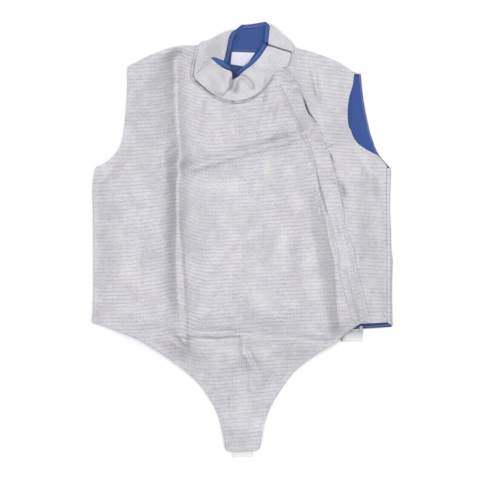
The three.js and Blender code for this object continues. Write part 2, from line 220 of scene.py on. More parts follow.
# Small creases that only the cloth shows
FINE_FOLDS: list[Fold] = [
    Fold(2.0, 18, 8, [(-135, -169), (-73, -163), (-21, -162), (31, -167), (84, -174), (119, -180),
                      (150, -184)]),
    Fold(-2.9, 7.5, 11.5, [(-92, 121), (-66, 131), (-28, 143), (14, 155), (52, 166), (88, 176), (116, 188)]),
    Fold(-1.1, 2.4, 2.4, [(63, 271), (82, 231), (93, 210), (109, 180), (119, 155), (127, 124), (134, 88)]),
    Fold(-1.0, 2.4, 2.4, [(134, 88), (143, 58), (152, 28), (161, -5), (166, -24)]),
    Fold(-0.6, 2.5, 2.5, [(-222, 97), (-180, 95), (-140, 94)]),
    Fold(-1.2, 3.0, 4.5, [(-112, -173), (-99, -175.5), (-72, -173), (-44, -175.5), (-15, -173), (0, -172)]),
    Fold(-1.3, 4.5, 9, [(-8, -160), (60, -162), (120, -166), (150, -172)]),
    Fold(-1.2, 2.2, 2.2, [(-119, -171), (-113, -181)]),
    Fold(-1.2, 2.2, 2.2, [(-110, -171), (-105, -183)]),
    Fold(0.8, 3, 3, [(-112, -168), (-104, -178), (-98, -181)]),
    Fold(-1.1, 2.6, 4, [(49, -179), (71, -181), (94, -183), (114, -185), (135, -192)]),
    Fold(-0.9, 2.2, 2.2, [(-6, -174), (-6, -200)]),
    Fold(0.8, 4, 4, [(2, -174), (3, -204)]),
    Fold(-1.3, 2.4, 5, [(10, -193), (18, -209), (26, -225)]),
    Fold(0.8, 4, 3, [(6, -200), (16, -222), (14, -262)]),
    Fold(-0.9, 5, 5, [(52, -205), (64, -212)]),
    Fold(0.6, 3, 3, [(-95, -180), (-93, -222)]),
    Fold(-0.4, 3, 3, [(-88, -184), (-86, -226)]),
    Fold(-0.8, 2.2, 2.2, [(-25, -281), (-24, -298)]),
    Fold(-0.6, 2.2, 2.2, [(56, 44), (59, 31)]),
    Fold(-0.6, 2.2, 2.2, [(63, 42), (66, 29)]),
    Fold(0.7, 2.4, 2.4, [(66, 11), (70, -10)]),
    Fold(0.8, 2.6, 2.6, [(74, 15), (81, -14)]),
    Fold(0.6, 2.6, 2.6, [(75, -28), (79, -42)]),
    Fold(0.5, 3.5, 3.5, [(102, 37), (102, 11)]),
    Fold(-1.5, 4, 6, [(147, 164), (160, 170), (174, 176)]),
    Fold(-0.7, 4, 4, [(159, 139), (161, 125)]),
    Fold(-1.6, 6, 9, [(172, 104), (176, 82), (181, 60)]),
    Fold(-0.35, 4, 4, [(36, 249), (30, 218)]),
    Fold(0.7, 3, 3, [(60, 262), (47, 226)]),
    Fold(-0.4, 4, 4, [(78, 236), (68, 208)]),
    Fold(0.8, 5, 5, [(-62, 236), (-70, 180)]),
    Fold(-0.7, 8, 8, [(-235, 118), (-196, 70), (-190, 20)]),
    Fold(0.7, 9, 9, [(-190, 150), (-160, 118)]),
    Fold(0.35, 11, 9, [(236, 118), (226, 40), (228, -80)]),
    Fold(-2.2, 2.4, 12, [(-140, 148), (-141, 130), (-137, 114)]),
    Fold(0.8, 2.4, 2.4, [(-150, 144), (-134, 149), (-118, 160)]),
    Fold(0.9, 2.2, 2.2, [(-249, 117), (-241, 108)]),
    Fold(-0.9, 4, 4, [(-228, 123), (-238, 109), (-251, 99)]),
    Fold(0.5, 3, 3, [(-236, 128), (-246, 115)]),
    Fold(-0.6, 7, 7, [(236, 112), (239, 76)]),
    Fold(-0.6, 3, 3, [(236, -8), (250, -12)]),
    Fold(-0.6, 3, 3, [(232, -22), (250, -26)]),
    Fold(-0.7, 6, 6, [(205, 150), (220, 112)]),
    Fold(0.9, 10, 12, [(-5, 118), (70, 70)]),
    Fold(-0.8, 12, 10, [(-60, 40), (-20, -60), (-32, -140)]),
    Fold(0.7, 10, 10, [(85, -20), (96, -120)]),
    Fold(-0.8, 5, 7, [(-180, -20), (-172, -130)]),
]

# The long pressed ridge at the left: rows of y and the x of its crest, upwards
CREST: Rows = [
    (-170, -103), (-90, -112), (-20, -113.5), (40, -113), (82, -113), (100, -113), (118, -109.5),
    (128, -113), (144, -107.5), (171, -109.5), (207, -113.5), (260, -115), (345, -117),
]
# Top of the cloth's climb to the fly
FLY_CREST: Rows = [
    (171, -168), (168.5, -146), (166.5, -124), (164.5, -92), (163, -66), (160, -34), (154.5, -10),
    (150.5, 8), (148, 30), (147, 54), (143, 76), (138, 98), (131, 118), (122, 140),
]
FLY_CLIMB = 34.0
FLY_HEIGHT = 4.7
FLY_HOLLOW = 3.9
# The long ridge's second edge below, which drifts to the right
CREST_TWIN: Rows = [(-170, -98), (-83, -102), (-21, -106), (30, -110), (70, -112)]
COLLAR_FOLDS: list[Fold] = [
    Fold(3.0, 20, 4.5, [(-15, 286), (-18, 274), (-24, 264)]),
    Fold(-2.2, 4, 4, [(-4, 284), (6, 281), (14, 274), (18, 266)]),
    Fold(-4.2, 6.5, 8.5, [(-15, 276), (-15, 265)]),
    Fold(0.7, 8, 10, [(-62, 300), (-44, 272)]),
    Fold(-0.5, 5, 5, [(-47, 303), (-33, 274)]),
    Fold(0.5, 8, 8, [(40, 318), (50, 296)]),
    Fold(-0.4, 6, 6, [(24, 290), (38, 276)]),
    Fold(0.4, 9, 9, [(64, 326), (66, 305)]),
    Fold(-0.6, 2.5, 2.5, [(22, 300), (34, 296), (44, 298)]),
    Fold(-0.5, 2.5, 2.5, [(48, 316), (58, 309)]),
]
BACK_FOLDS: list[Fold] = [
    Fold(0.5, 12, 10, [(-150, 250), (-138, 40), (-150, -120)]),
    Fold(0.5, 9, 14, [(96, 280), (110, 90), (92, -110)]),
    Fold(0.4, 10, 10, [(-40, 300), (-20, 160)]),
    Fold(0.4, 8, 8, [(-220, 90), (-180, 20)]),
    Fold(0.4, 8, 8, [(205, 120), (180, 30)]),
    Fold(0.4, 9, 9, [(-200, -110), (-60, -128), (80, -120), (220, -112)]),
]


def smooth(t: Array | float) -> Array | float:
    """Smoothstep of t, held between 0 and 1."""
    t = np.clip(t, 0.0, 1.0)
    return t * t * (3 - 2 * t)


def bell(t: Array | float) -> Array | float:
    """1 where t is 0, with a soft fall to both sides."""
    return np.exp(-(t**2))


def level(z: float) -> Surface:
    """A flat surface at height z."""
    return lambda x, y: np.full(np.shape(x), z)


def shifted(rows: Rows, dx: float, dy: float) -> Rows:
    """Rows moved by dx, dy."""
    return [(x + dx, y + dy) for x, y in rows]


def backwards(rows: Rows) -> Rows:
    """Rows in the other direction."""
    return list(rows)[::-1]


class Edge:
    """The way along stretches, each a spline through its rows; a corner stands where two meet."""

    FINENESS = 96

    def __init__(self, *stretches: tuple[float, Rows]) -> None:
        """Samples each stretch by its length.

        Args:
            stretches: the share of the way that a stretch takes, and its rows of x, y.
        """
        self.parts = [(share, *self._measured(np.array(rows, float))) for share, rows in stretches]

    @classmethod
    def through(cls, rows: Rows) -> "Edge":
        """One spline through the rows."""
        return cls((1.0, rows))

    def _measured(self, rows: Array) -> tuple[Array, Array]:
        """Points of a Catmull-Rom spline and how far along its length each lies, from 0 to 1."""
        ends = np.vstack([rows[0], rows, rows[-1]])
        points = []
        for i in range(len(rows) - 1):
            p0, p1, p2, p3 = ends[i : i + 4]
            t = np.linspace(0, 1, self.FINENESS, endpoint=False)[:, None]
            points.append(0.5 * (2 * p1 + (p2 - p0) * t + (2 * p0 - 5 * p1 + 4 * p2 - p3) * t**2
                                 + (3 * p1 - p0 - 3 * p2 + p3) * t**3))
        points.append(rows[-1:])
        points = np.vstack(points)
        steps = np.hypot(*np.diff(points, axis=0).T)
        length = np.concatenate([[0], np.cumsum(steps)])
        return points, length / length[-1]

    def at(self, t: Array) -> Array:
        """Points at t, an array of numbers from 0 to 1.

        Args:
            t: how far along, one number for each point.

        Returns:
            An array with a row of x, y for each.
        """
        t = np.asarray(t, float)
        out = np.zeros((*t.shape, 2))
        start = 0.0
        for index, (share, points, length) in enumerate(self.parts):
            last = index == len(self.parts) - 1
            here = (t >= start - 1e-9) & ((t < start + share - 1e-9) | last)
            local = np.clip((t[here] - start) / share, 0, 1)
            out[here] = np.stack([np.interp(local, length, points[:, k]) for k in (0, 1)], axis=-1)
            start += share
        return out

    def length(self) -> float:
        """Length along the whole edge, in millimetres."""
        return sum(float(np.hypot(*np.diff(points, axis=0).T).sum()) for _, points, _ in self.parts)


def distance(x: Array, y: Array, rows: Rows) -> Array:
    """Distance from points to a chain of rows, positive to the right of a chain that runs down.

    Args:
        x: the points' x.
        y: the points' y.
        rows: the chain's rows of x, y.

    Returns:
        The signed distance of each point.
    """
    best = np.full(np.shape(x), np.inf)
    side = np.ones(np.shape(x))
    for (ax, ay), (bx, by) in zip(rows, rows[1:]):
        run = (bx - ax) ** 2 + (by - ay) ** 2
        along = np.clip(((x - ax) * (bx - ax) + (y - ay) * (by - ay)) / run, 0, 1)
        gap = np.hypot(x - ax - along * (bx - ax), y - ay - along * (by - ay))
        turn = np.sign((ay - by) * (x - ax) + (bx - ax) * (y - ay))
        nearer = gap < best
        side = np.where(nearer, np.where(turn == 0, 1, turn), side)
        best = np.where(nearer, gap, best)
    return best * side


def raised(x: Array, y: Array, folds: Sequence[Fold]) -> Array:
    """Height that the folds add at each point."""
    total = np.zeros(np.shape(x))
    for fold in folds:
        d = distance(x, y, fold.rows)
        total += fold.height * bell(d / np.where(d < 0, fold.left, fold.right))
    return total


def ridge(x: Array, y: Array) -> Array:
    """Height of the long pressed ridge: steep to its left, easy to its right, with a thin crest."""
    ys, xs = np.array(CREST, float).T
    d = x - np.interp(y, ys, xs)
    # It is tallest in the middle and broadens towards the chest and the hem
    tall = (7.9 - 1.1 * smooth((y - 110) / 60) - 2.6 * smooth((-70 - y) / 90)) * smooth((y + 218) / 60)
    left = 12.5 + 6.0 * smooth((y - 130) / 60) + 9.0 * smooth((-100 - y) / 50)
    right = 22.0 - 6.0 * smooth((y + 10) / 60) - 4.0 * smooth((y - 110) / 70) - 8.0 * smooth((-130 - y) / 40)
    reach = np.where(d < 0, left, right)
    flank = np.exp(-(((np.sqrt(d * d + 1.0) - 1.0) / reach) ** 1.4))
    # Its second edge below, with a groove beside it
    ys, xs = np.array(CREST_TWIN, float).T
    twin = x - np.interp(y, ys, xs)
    second = 1.1 * bell(twin / 3.0) * smooth((62 - y) / 40)
    groove = -0.5 * bell((twin + 4.5) / 2.5) * smooth((30 - y) / 40)
    return tall * flank + 0.7 * bell(d / 1.6) + second + groove


def x_at(rows: Rows, y: Array) -> Array:
    """x of a chain of rows that climbs in y, at each y."""
    chain = np.array(rows, float)
    return np.interp(y, chain[:, 1], chain[:, 0])


def climbed(beside: Array) -> Array:
    """How far the cloth has climbed to the fly, from 0 to 1, by the distance beyond the top of its climb."""
    return (1 - np.clip(-beside / FLY_CLIMB, 0, 1)) ** 1.9


def along_fly(y: Array) -> Array:
    """1 along the ridge under the fly, fading out at both its ends."""
    return smooth((134 - y) / 62) * smooth((178 + y) / 40)


def fly_ridge(x: Array, y: Array) -> Array:
    """Height of the ridge under the fly, which the front climbs from the left."""
    beside = x - x_at(FLY_CREST, y)
    return FLY_HEIGHT * climbed(beside) * bell(np.maximum(beside - 14, 0) / 50) * along_fly(y)


@dataclass
class Drape:
    """How the laid garment lies: the heights that all its layers share.

    Attributes:
        loft: how far the front stands off the back in the middle.
        loft_reach: distance from an edge at which that is reached.
        ripple: height of the soft unevenness all over.
        pucker: height of the small gathers beside a seam.
        seed: start of the unevenness's random numbers.
        wave_count: how many waves it is made of.
        wave_lengths: the shortest and the longest of them.
        wave_sum: what they come to together, which their sum is divided by.
        waves: the waves, which are drawn when the object is made.
    """

    loft: float = 4.0
    loft_reach: float = 74.0
    ripple: float = 0.32
    pucker: float = 0.34
    seed: int = 7
    wave_count: int = 26
    wave_lengths: tuple[float, float] = (28.0, 110.0)
    wave_sum: float = 2.2
    waves: list[tuple[float, float, float, float]] = field(default_factory=list)

    def __post_init__(self) -> None:
        """Draws the waves of the unevenness: wave numbers along x and y, phase and height."""
        rng = np.random.default_rng(self.seed)
        shortest, longest = self.wave_lengths
        for _ in range(self.wave_count):
            length = rng.uniform(shortest, longest)
            turn = rng.uniform(0, math.pi)
            self.waves.append((
                2 * math.pi * math.cos(turn) / length, 2 * math.pi * math.sin(turn) / length,
                rng.uniform(0, 2 * math.pi), length / longest,
            ))

    @property
    def body_edge(self) -> Rows:
        """The front's outline but for its lower hem."""
        return [
            *SIDE_LEFT, *ARMHOLE_LEFT, *SHOULDER_LEFT, *SHOULDER_RIGHT,
            *backwards(FRONT_ARMHOLE_RIGHT), (262, ARMPIT_Y), (262, HEM_Y),
        ]

    def unevenness(self, x: Array, y: Array) -> Array:
        """Soft waves that no two places share."""
        total = sum(h * np.sin(a * x + b * y + phase) for a, b, phase, h in self.waves)
        return self.ripple * total / self.wave_sum

    def gathers(self, x: Array, y: Array, seam: Rows, reach: float = 9.0, pitch: float = 13.0) -> Array:
        """Small puckers beside a seam, which fade away from it."""
        d = np.abs(distance(x, y, seam))
        swing = np.sin(2 * math.pi * (x + y) / pitch + 2.1 * np.sin((x - 0.6 * y) / 23.0))
        return self.pucker * swing * bell(d / reach)

    def bed(self, x: Array, y: Array) -> Array:
        """Loft and folds of the front, which every layer of it shares."""
        inside = np.abs(distance(x, y, self.body_edge))
        near_hem = smooth((y - HEM_Y + 134) / 120)
        loft = self.loft * smooth(inside / self.loft_reach) * near_hem
        folds = ridge(x, y) + fly_ridge(x, y) + raised(x, y, MAIN_FOLDS) + raised(x, y, FINE_FOLDS)
        soft = self.unevenness(x, y) * smooth(inside / 30)
        return np.maximum(0, loft + folds * smooth(inside / 22) + soft)

    def tuck(self, x: Array, y: Array) -> Array:
        """How far the front is raised where it overlaps the side front."""
        return LAYER * smooth((x - x_at(FLY_INNER, y) + TUCK_START) / TUCK_FADE)

    def tongue(self, x: Array, y: Array) -> Array:
        """Where the tongue's underside lies: on the back, on the floor or on its strap."""
        # 1 below the back's hem, between the tongue's hips, and over the strap at its tip
        low = smooth((-172 - y) / 72)
        middle = smooth((130 - np.abs(x)) / 45)
        strap = smooth((-306 - y) / 28)
        return FRONT_Z * (1 - low * middle) + (2 * ELASTIC + 3 * SEAM) * strap

    def front(self, x: Array, y: Array) -> Array:
        """Underside of the front panel."""
        tongue_edge = [row for _, rows in TONGUE for row in rows]
        # The hollow before the climb to the fly
        beside = x - x_at(FLY_CREST, y)
        valley = -FLY_HOLLOW * (1 - climbed(beside)) * bell(np.minimum(beside + FLY_CLIMB, 0) / 46)
        valley *= along_fly(y)
        # The groove at the neck seam, deepest at the left and hidden under the fly
        seam = distance(x, y, COLLAR_SEAM)
        depth = 1.8 + 0.7 * smooth((10 - x) / 40)
        shown = 1 - smooth((x - 50) / 6)
        groove = shown * (-depth * bell((seam + 0.8) / 1.3) - 0.6 * smooth((seam + 0.8) / 1.6))
        bed = np.maximum(self.bed(x, y) + valley, 0.2) * (1 - smooth(seam / 9))
        lies = self.tongue(x, y) + self.tuck(x, y) + np.maximum(bed + groove, -0.8)
        lies = lies + np.abs(self.gathers(x, y, tongue_edge, 7, 11))
        return lies + self.gathers(x, y, COLLAR_SEAM[2:], 10, 12) * 0.8

    def side(self, x: Array, y: Array) -> Array:
        """Underside of the side front, which dips beside the fly's free edge."""
        # Depth and width of the dip beside the free edge
        off = distance(x, y, FLY_FREE)
        deep = sum((depth * bell((y - middle) / reach) for depth, middle, reach in FLY_DIPS), 0.2)
        wide = np.where(off > 0.6, 2.0 + 5.0 * bell((y - 84) / 24), 9.0)
        valley = -deep * bell((off - 0.6) / wide)
        # The crease where the collar's return turns up
        valley -= 0.7 * bell(distance(x, y, [(87, 322), (82, 309), (79, 301)]) / 1.1)
        bed = np.maximum(self.bed(x, y) + valley, 0.1)
        return FRONT_Z + bed + np.abs(self.gathers(x, y, FRONT_ARMHOLE_RIGHT, 7, 12))

    def fly(self, x: Array, y: Array) -> Array:
        """Underside of the fly band, sewn down along its inner edge and free along its outer one."""
        from_seam = np.abs(distance(x, y, FLY_SEWN))
        where, lift = np.array(FLY_LIFT, float).T
        outer = LAYER + np.interp(y, where, lift)
        inner = 2 * LAYER - 1.35 - 0.3 * smooth((y - 120) / 60)
        free = smooth((from_seam - 3) / 20)
        swell = 0.4 * bell((from_seam - 11) / 7) * (0.55 + 0.45 * np.sin(y / 19.0 + np.sin(y / 31.0)))
        under_end = 0.7 * smooth((y - 290) / 10)
        lies = FRONT_Z + self.bed(x, y) + inner * (1 - free) + outer * free + swell - under_end
        return lies + self.gathers(x, y, FLY_SEWN, 8, 15) * 0.5

    def collar(self, x: Array, y: Array) -> Array:
        """Rise of the collar's layers away from the neck seam."""
        away = np.abs(distance(x, y, COLLAR_SEAM))
        lower = 0.45 + 0.55 * smooth((110 - x) / 60)
        rise = COLLAR_RISE * COLLAR_LIFT * smooth(away / COLLAR_REACH) * lower
        return self.bed(x, y) * (1 - smooth(away / 46)) + rise

    def collar_side(self, x: Array, y: Array) -> Array:
        """Underside of the collar's side, which laps over the front's edge."""
        away = np.abs(distance(x, y, COLLAR_SEAM))
        bend = distance(x, y, [(-54, 316), (-60, 314.5), (-67.5, 305), (-76, 291)])
        crease = 0.6 * bell(bend / 1.3)
        return FRONT_Z + self.collar(x, y) + 1.2 * (1 - smooth(away / 12)) - crease

    def collar_return(self, x: Array, y: Array) -> Array:
        """Underside of the collar's return, which dips above the tab."""
        off = distance(x, y, [(85, 326), (66, 331.5), (45, 338.5)])
        valley = 4.0 * bell(off / 1.2)
        return np.maximum(FRONT_Z + self.collar(x, y) - valley, FRONT_Z - 0.2)

    def front_collar(self, x: Array, y: Array) -> Array:
        """Underside of the front collar."""
        away = np.abs(distance(x, y, COLLAR_SEAM))
        # The cloth steps up at the seam where it shows, and is tucked in under the fly's end
        flush = 1 - smooth((x - 50) / 10)
        seam_step = np.maximum(self.tuck(x, y) + (0.3 + 1.1 * flush) * (1 - smooth(away / 14)),
                               LAYER * (0.7 * flush + (1 - 0.7 * flush) * smooth(away / 6)))
        tucked_in = 0.35 * smooth((x - 52) / 6) * (1 - smooth(away / 6))
        body = FRONT_Z + seam_step + self.collar(x, y) - tucked_in
        lowest = FRONT_Z + 1 - 0.9 * smooth((away - 9) / 5)
        return np.maximum(body + raised(x, y, COLLAR_FOLDS) * smooth(away / 9), lowest)


DRAPE = Drape()


def weave_map(grain: Grain, x: Array, y: Array) -> tuple[Array, Array]:
    """Where each point lies on the straight cloth, which bends the weave's lines as the photograph shows.

    Args:
        grain: how the lines run on this panel.
        x: the points' x, in millimetres.
        y: the points' y.

    Returns:
        The place across and along the cloth, in metres.
    """
    if grain is Grain.FRONT:
        # A line's climb in y as it goes right, added up from one x to the next
        knots = [-264, -190, -150, -116, -108, -80, -62, -40, 60, 200, 264]
        climb = [0, 1.5, 5.0, 11.0, 11.0, 0.0, -3.5, -3.0, 5.5, 17.0, 20.0]
        strength = 0.75 + 0.25 * smooth((y + 260) / 200)
        v = y - np.interp(x, knots, climb) * strength + 2.0 * np.sin(x / 61 + y / 83)
    elif grain is Grain.SIDE:
        fall = 0.03 + 0.11 * smooth((y - 120) / 140)
        v = y + fall * (x - 90) + 1.4 * np.sin(x / 37 + y / 59)
    elif grain is Grain.BAND:
        v = y - 0.05 * x + 1.2 * np.sin(y / 47)
    elif grain is Grain.COLLAR:
        turn = math.radians(38)
        across, along = math.cos(turn), math.sin(turn)
        return (x * across + y * along) * MM, (y * across - x * along) * MM
    else:
        v = y
    return x * MM, v * MM


# Finishes


def linear(code: str) -> tuple[float, float, float, float]:
    """An sRGB hex colour as linear red, green, blue and alpha."""
    parts = [int(code[i : i + 2], 16) / 255 for i in (1, 3, 5)]
    return (*(c / 12.92 if c <= 0.04045 else ((c + 0.055) / 1.055) ** 2.4 for c in parts), 1.0)


class Nodes:
    """A material's node tree, with one way to add to it."""

    def __init__(self, name: str) -> None:
        """Starts an empty material of that name with a Principled shader."""
        self.material = bpy.data.materials.new(name)
        self.material.use_nodes = True
        self.tree = self.material.node_tree
        self.tree.nodes.clear()
        surface = self.add("BsdfPrincipled")
        self.shader = surface.node
        self.add("OutputMaterial", surface)

    def feed(self, node: bpy.types.Node, inputs: dict[str | int, object]) -> None:
        """Sets a node's inputs, or links those whose value is another node's output."""
        for key, value in inputs.items():
            if isinstance(value, bpy.types.NodeSocket):
                self.tree.links.new(value, node.inputs[key])
            else:
                node.inputs[key].default_value = value

    def add(
        self, kind: str, *values: object, inputs: dict[str | int, object] | None = None,
        out: int | str = 0, **settings: object
    ) -> bpy.types.NodeSocket | None:
        """Adds a node.

        Args:
            kind: the node's type name, after ShaderNode.
            values: a value, or another node's output, for each of its first inputs in order.
            inputs: the same for inputs by name or number.
            out: the output that is wanted, by name or number.
            settings: the node's own attributes.

        Returns:
            That output, or None for a node without any.
        """
        node = self.tree.nodes.new("ShaderNode" + kind)
        for key, value in settings.items():
            setattr(node, key, value)
        self.feed(node, {**dict(enumerate(values)), **(inputs or {})})
        return node.outputs[out] if len(node.outputs) else None

    def weave(self) -> tuple[bpy.types.NodeSocket, bpy.types.NodeSocket]:
        """The place across and along the cloth, in metres, from the piece's own UV map."""
        split = self.add("SeparateXYZ", self.add("UVMap", uv_map="weave")).node
        return split.outputs[0], split.outputs[1]

    def lines(self, place: object, period: float, width: float, soft: float) -> bpy.types.NodeSocket:
        """1 on lines that repeat every period along place, 0 between them."""
        turns = self.add("Math", place, period, operation="DIVIDE")
        phase = self.add("Math", turns, operation="FRACT")
        off = self.add("Math", self.add("Math", phase, 0.5, operation="SUBTRACT"), operation="ABSOLUTE")
        outer, inner = (width + soft) / 2 / period, max(width - soft, 0) / 2 / period
        return self.add("MapRange", off, outer, inner, interpolation_type="SMOOTHSTEP")

    def clouds(
        self, scale: float, low: float = 0.0, high: float = 1.0, to_low: float = 0.0, to_high: float = 1.0,
        detail: float = 3.0, rough: float = 0.55
    ) -> bpy.types.NodeSocket:
        """Random clouds on Object coordinates.

        Args:
            scale: how many there are in a metre.
            low: the noise's value that becomes to_low.
            high: the noise's value that becomes to_high.
            to_low: the least amount.
            to_high: the greatest amount.
            detail: how many finer layers they have.
            rough: how strong those are.

        Returns:
            Their amount at each point.
        """
        place = self.add("TexCoord", out="Object")
        noise = self.add("TexNoise", inputs={
            "Vector": place, "Scale": scale, "Detail": detail, "Roughness": rough})
        return self.add("MapRange", noise, low, high, to_low, to_high)

    def layered(self, ground: str, *layers: tuple[object, float, str]) -> bpy.types.NodeSocket:
        """A ground colour with others laid over it in turn, each by an amount times its strength."""
        colour = linear(ground)
        for amount, strength, over in layers:
            share = self.add("Math", amount, strength, operation="MULTIPLY")
            shades = {0: share, 6: colour, 7: linear(over)}
            colour = self.add("Mix", inputs=shades, out=2, data_type="RGBA")
        return colour

    def set(self, **values: object) -> None:
        """Sets or links the shader's inputs; a name's underscores stand for spaces."""
        self.feed(self.shader, {key.replace("_", " "): value for key, value in values.items()})


@dataclass(frozen=True)
class Finish:
    """What every finish has: its name and the way that its material is made.

    Attributes:
        name: the material's name.
    """

    name: str

    def build(self, nodes: Nodes) -> None:
        """Adds the finish's nodes; each finish has its own way."""
        raise NotImplementedError

    def make(self) -> bpy.types.Material:
        """Builds the material."""
        nodes = Nodes(self.name)
        self.build(nodes)
        return nodes.material


@dataclass(frozen=True)
class SilverCloth(Finish):
    """Metallic ripstop: steel and copper threads woven with polyester, calendered to a soft sheen.

    The eye sees pale silver with thin darker lines across, a faint grid and brighter patches, partly rubbed
    by wear and partly painted highlight, with painted shade along its folds.

    Attributes:
        name: the material's name.
        ground: the cloth's own colour.
        line: the colour of the lines.
        worn_and_highlit: its colour in the brighter patches, where it is rubbed and where a highlight is
            painted on bulges and ridges.
        shade: a darker tint in broad clouds.
        rib: distance between the heavy weft lines, in metres.
        rib_width: width of such a line. The real one is 0.4 mm and is drawn wider so that it shows.
        warp: distance between the lines along the cloth.
        line_strength: how dark the weft lines are, from 0 to 1.
        warm: a faint yellowish tint in the brighter patches.
        fold_shade_colour: the grey painted as shade along folds and in hollows.
        cool: a faint greenish tint elsewhere.
    """

    name: str = "metallic_ripstop_woven"
    ground: str = "#C0BEC3"
    line: str = "#7F7D85"
    worn_and_highlit: str = "#D2D1D0"
    shade: str = "#B0AEB4"
    warm: str = "#CFCEC6"
    fold_shade_colour: str = "#8F8D96"
    cool: str = "#BDC2C6"
    rib: float = 0.0067
    rib_width: float = 0.0021
    warp: float = 0.003
    line_strength: float = 0.58

    def build(self, nodes: Nodes) -> None:
        """Adds the finish's nodes."""
        across, along = nodes.weave()
        # The heavy lines wander a little; weaker ones run between them and thin ones along the cloth
        wander = nodes.clouds(60, 0.3, 0.7, -0.0009, 0.0009)
        along = nodes.add("Math", along, wander, operation="ADD")
        ribs = nodes.lines(along, self.rib, self.rib_width, 0.002)
        halfway = nodes.add("Math", along, self.rib / 2, operation="ADD")
        between = nodes.lines(halfway, self.rib, 0.001, 0.0016)
        dots = nodes.lines(across, self.warp, 0.0011, 0.0013)
        # Wear breaks them up
        gaps = nodes.clouds(330, 0.38, 0.60, 0.35, 1.0, detail=2, rough=0.7)
        broken = nodes.add("Math", ribs, gaps, operation="MULTIPLY")
        faint = nodes.clouds(55, 0.45, 0.6, 0.0, 0.5, detail=2)
        weak = nodes.add("Math", between, faint, operation="MULTIPLY")
        dotted = nodes.add("Math", dots, 0.3, 0.7, operation="MULTIPLY_ADD")
        lines = nodes.add("Math", broken, dotted, weak, operation="MULTIPLY_ADD")
        threads = nodes.clouds(90, 0.40, 0.62, 0.1, 0.55)
        lines = nodes.add("Math", dots, threads, lines, operation="MULTIPLY_ADD")
        # Where it is rubbed bright and painted with highlights, clouded, specked, yellowed, stained and
        # painted with shade along folds
        rubbed = nodes.add("Math", nodes.clouds(11, 0.50, 0.68, rough=0.6), 0.35, operation="MULTIPLY")
        # Partly painted highlight: the brighter patches lie on bulges and ridges as well as on rubbed cloth
        worn_and_highlit = nodes.add("Attribute", out="Fac", attribute_name="worn_and_highlit")
        patches = nodes.add("Math", rubbed, worn_and_highlit, operation="MAXIMUM")
        dull = nodes.clouds(21, 0.52, 0.72, detail=4, rough=0.6)
        speck = nodes.clouds(560, 0.36, 0.64, rough=0.7)
        tint = nodes.clouds(24, 0.52, 0.70, 0.0, 0.45, detail=2)
        where_bright = nodes.add("Math", 0.25, patches, operation="ADD")
        yellow = nodes.add("Math", tint, where_bright, operation="MULTIPLY")
        stain = nodes.clouds(47, 0.50, 0.66, 0.0, 0.5, rough=0.6)
        # Painted shade: the cloth is darkened along the long ridge, beside the fly, across the chest, in the
        # collar's hollow and along the waist fold
        fold_shading = nodes.add("Attribute", out="Fac", attribute_name="painted_fold_shade")
        # The lines are fainter in the brighter patches
        fade = nodes.add("Math", patches, -0.55, 1.0, operation="MULTIPLY_ADD")
        faded = nodes.add("Math", lines, fade, operation="MULTIPLY")
        colour = nodes.layered(
            self.ground, (dull, 0.3, self.shade), (stain, 1.0, self.cool), (patches, 0.6, self.worn_and_highlit),
            (yellow, 1.0, self.warm), (fold_shading, 0.4, self.fold_shade_colour),
            (faded, self.line_strength, self.line), (speck, 0.34, self.line))
        grit = nodes.add("Math", speck, 0.5, operation="MULTIPLY")
        relief = nodes.add("Math", grit, lines, operation="SUBTRACT")
        nodes.set(
            Base_Color=colour, Metallic=0.6, Roughness=nodes.clouds(30, 0.3, 0.7, 0.36, 0.48),
            Sheen_Weight=0.12, Sheen_Roughness=0.5,
            Normal=nodes.add("Bump", inputs={"Height": relief, "Strength": 0.35, "Distance": 0.00035}))


@dataclass(frozen=True)
class PlainWeave(Finish):
    """Dyed polyester lining, plain woven: matt, with a soft nap and a fine thread grid.

    Attributes:
        name: the material's name.
        ground: the dye's own colour.
        shade: a darker tint in broad clouds and between the threads.
        deep: the navy painted as shade where the lining lies deep in the collar, at the armholes and along
            the right hem.
        thread: distance between threads, in metres. The real 0.4 mm is drawn coarser so that it shows.
        roughness: how matt it is.
    """

    name: str = "dyed_polyester_plain_weave"
    ground: str = "#294B8E"
    shade: str = "#234383"
    deep: str = "#26305E"
    thread: float = 0.0011
    roughness: float = 0.72

    def build(self, nodes: Nodes) -> None:
        """Adds the finish's nodes."""
        across, along = nodes.weave()
        half = self.thread * 0.5
        warp = nodes.lines(across, self.thread, half, half)
        weft = nodes.lines(along, self.thread, half, half)
        both = nodes.add("Math", warp, weft, operation="ADD")
        cloth = nodes.add("Math", both, 0.5, operation="MULTIPLY")
        # Painted shade: the lining turns navy where it lies deep in the collar, at the armholes and along the
        # right hem
        deep = nodes.add("Attribute", out="Fac", attribute_name="deep")
        colour = nodes.layered(
            self.ground, (nodes.clouds(38, 0.35, 0.7), 0.5, self.shade), (cloth, 0.3, self.shade),
            (deep, 1.0, self.deep))
        nodes.set(
            Base_Color=colour, Roughness=self.roughness, Sheen_Weight=0.25, Sheen_Roughness=0.4,
            Normal=nodes.add("Bump", inputs={"Height": cloth, "Strength": 0.4, "Distance": 0.0002}))


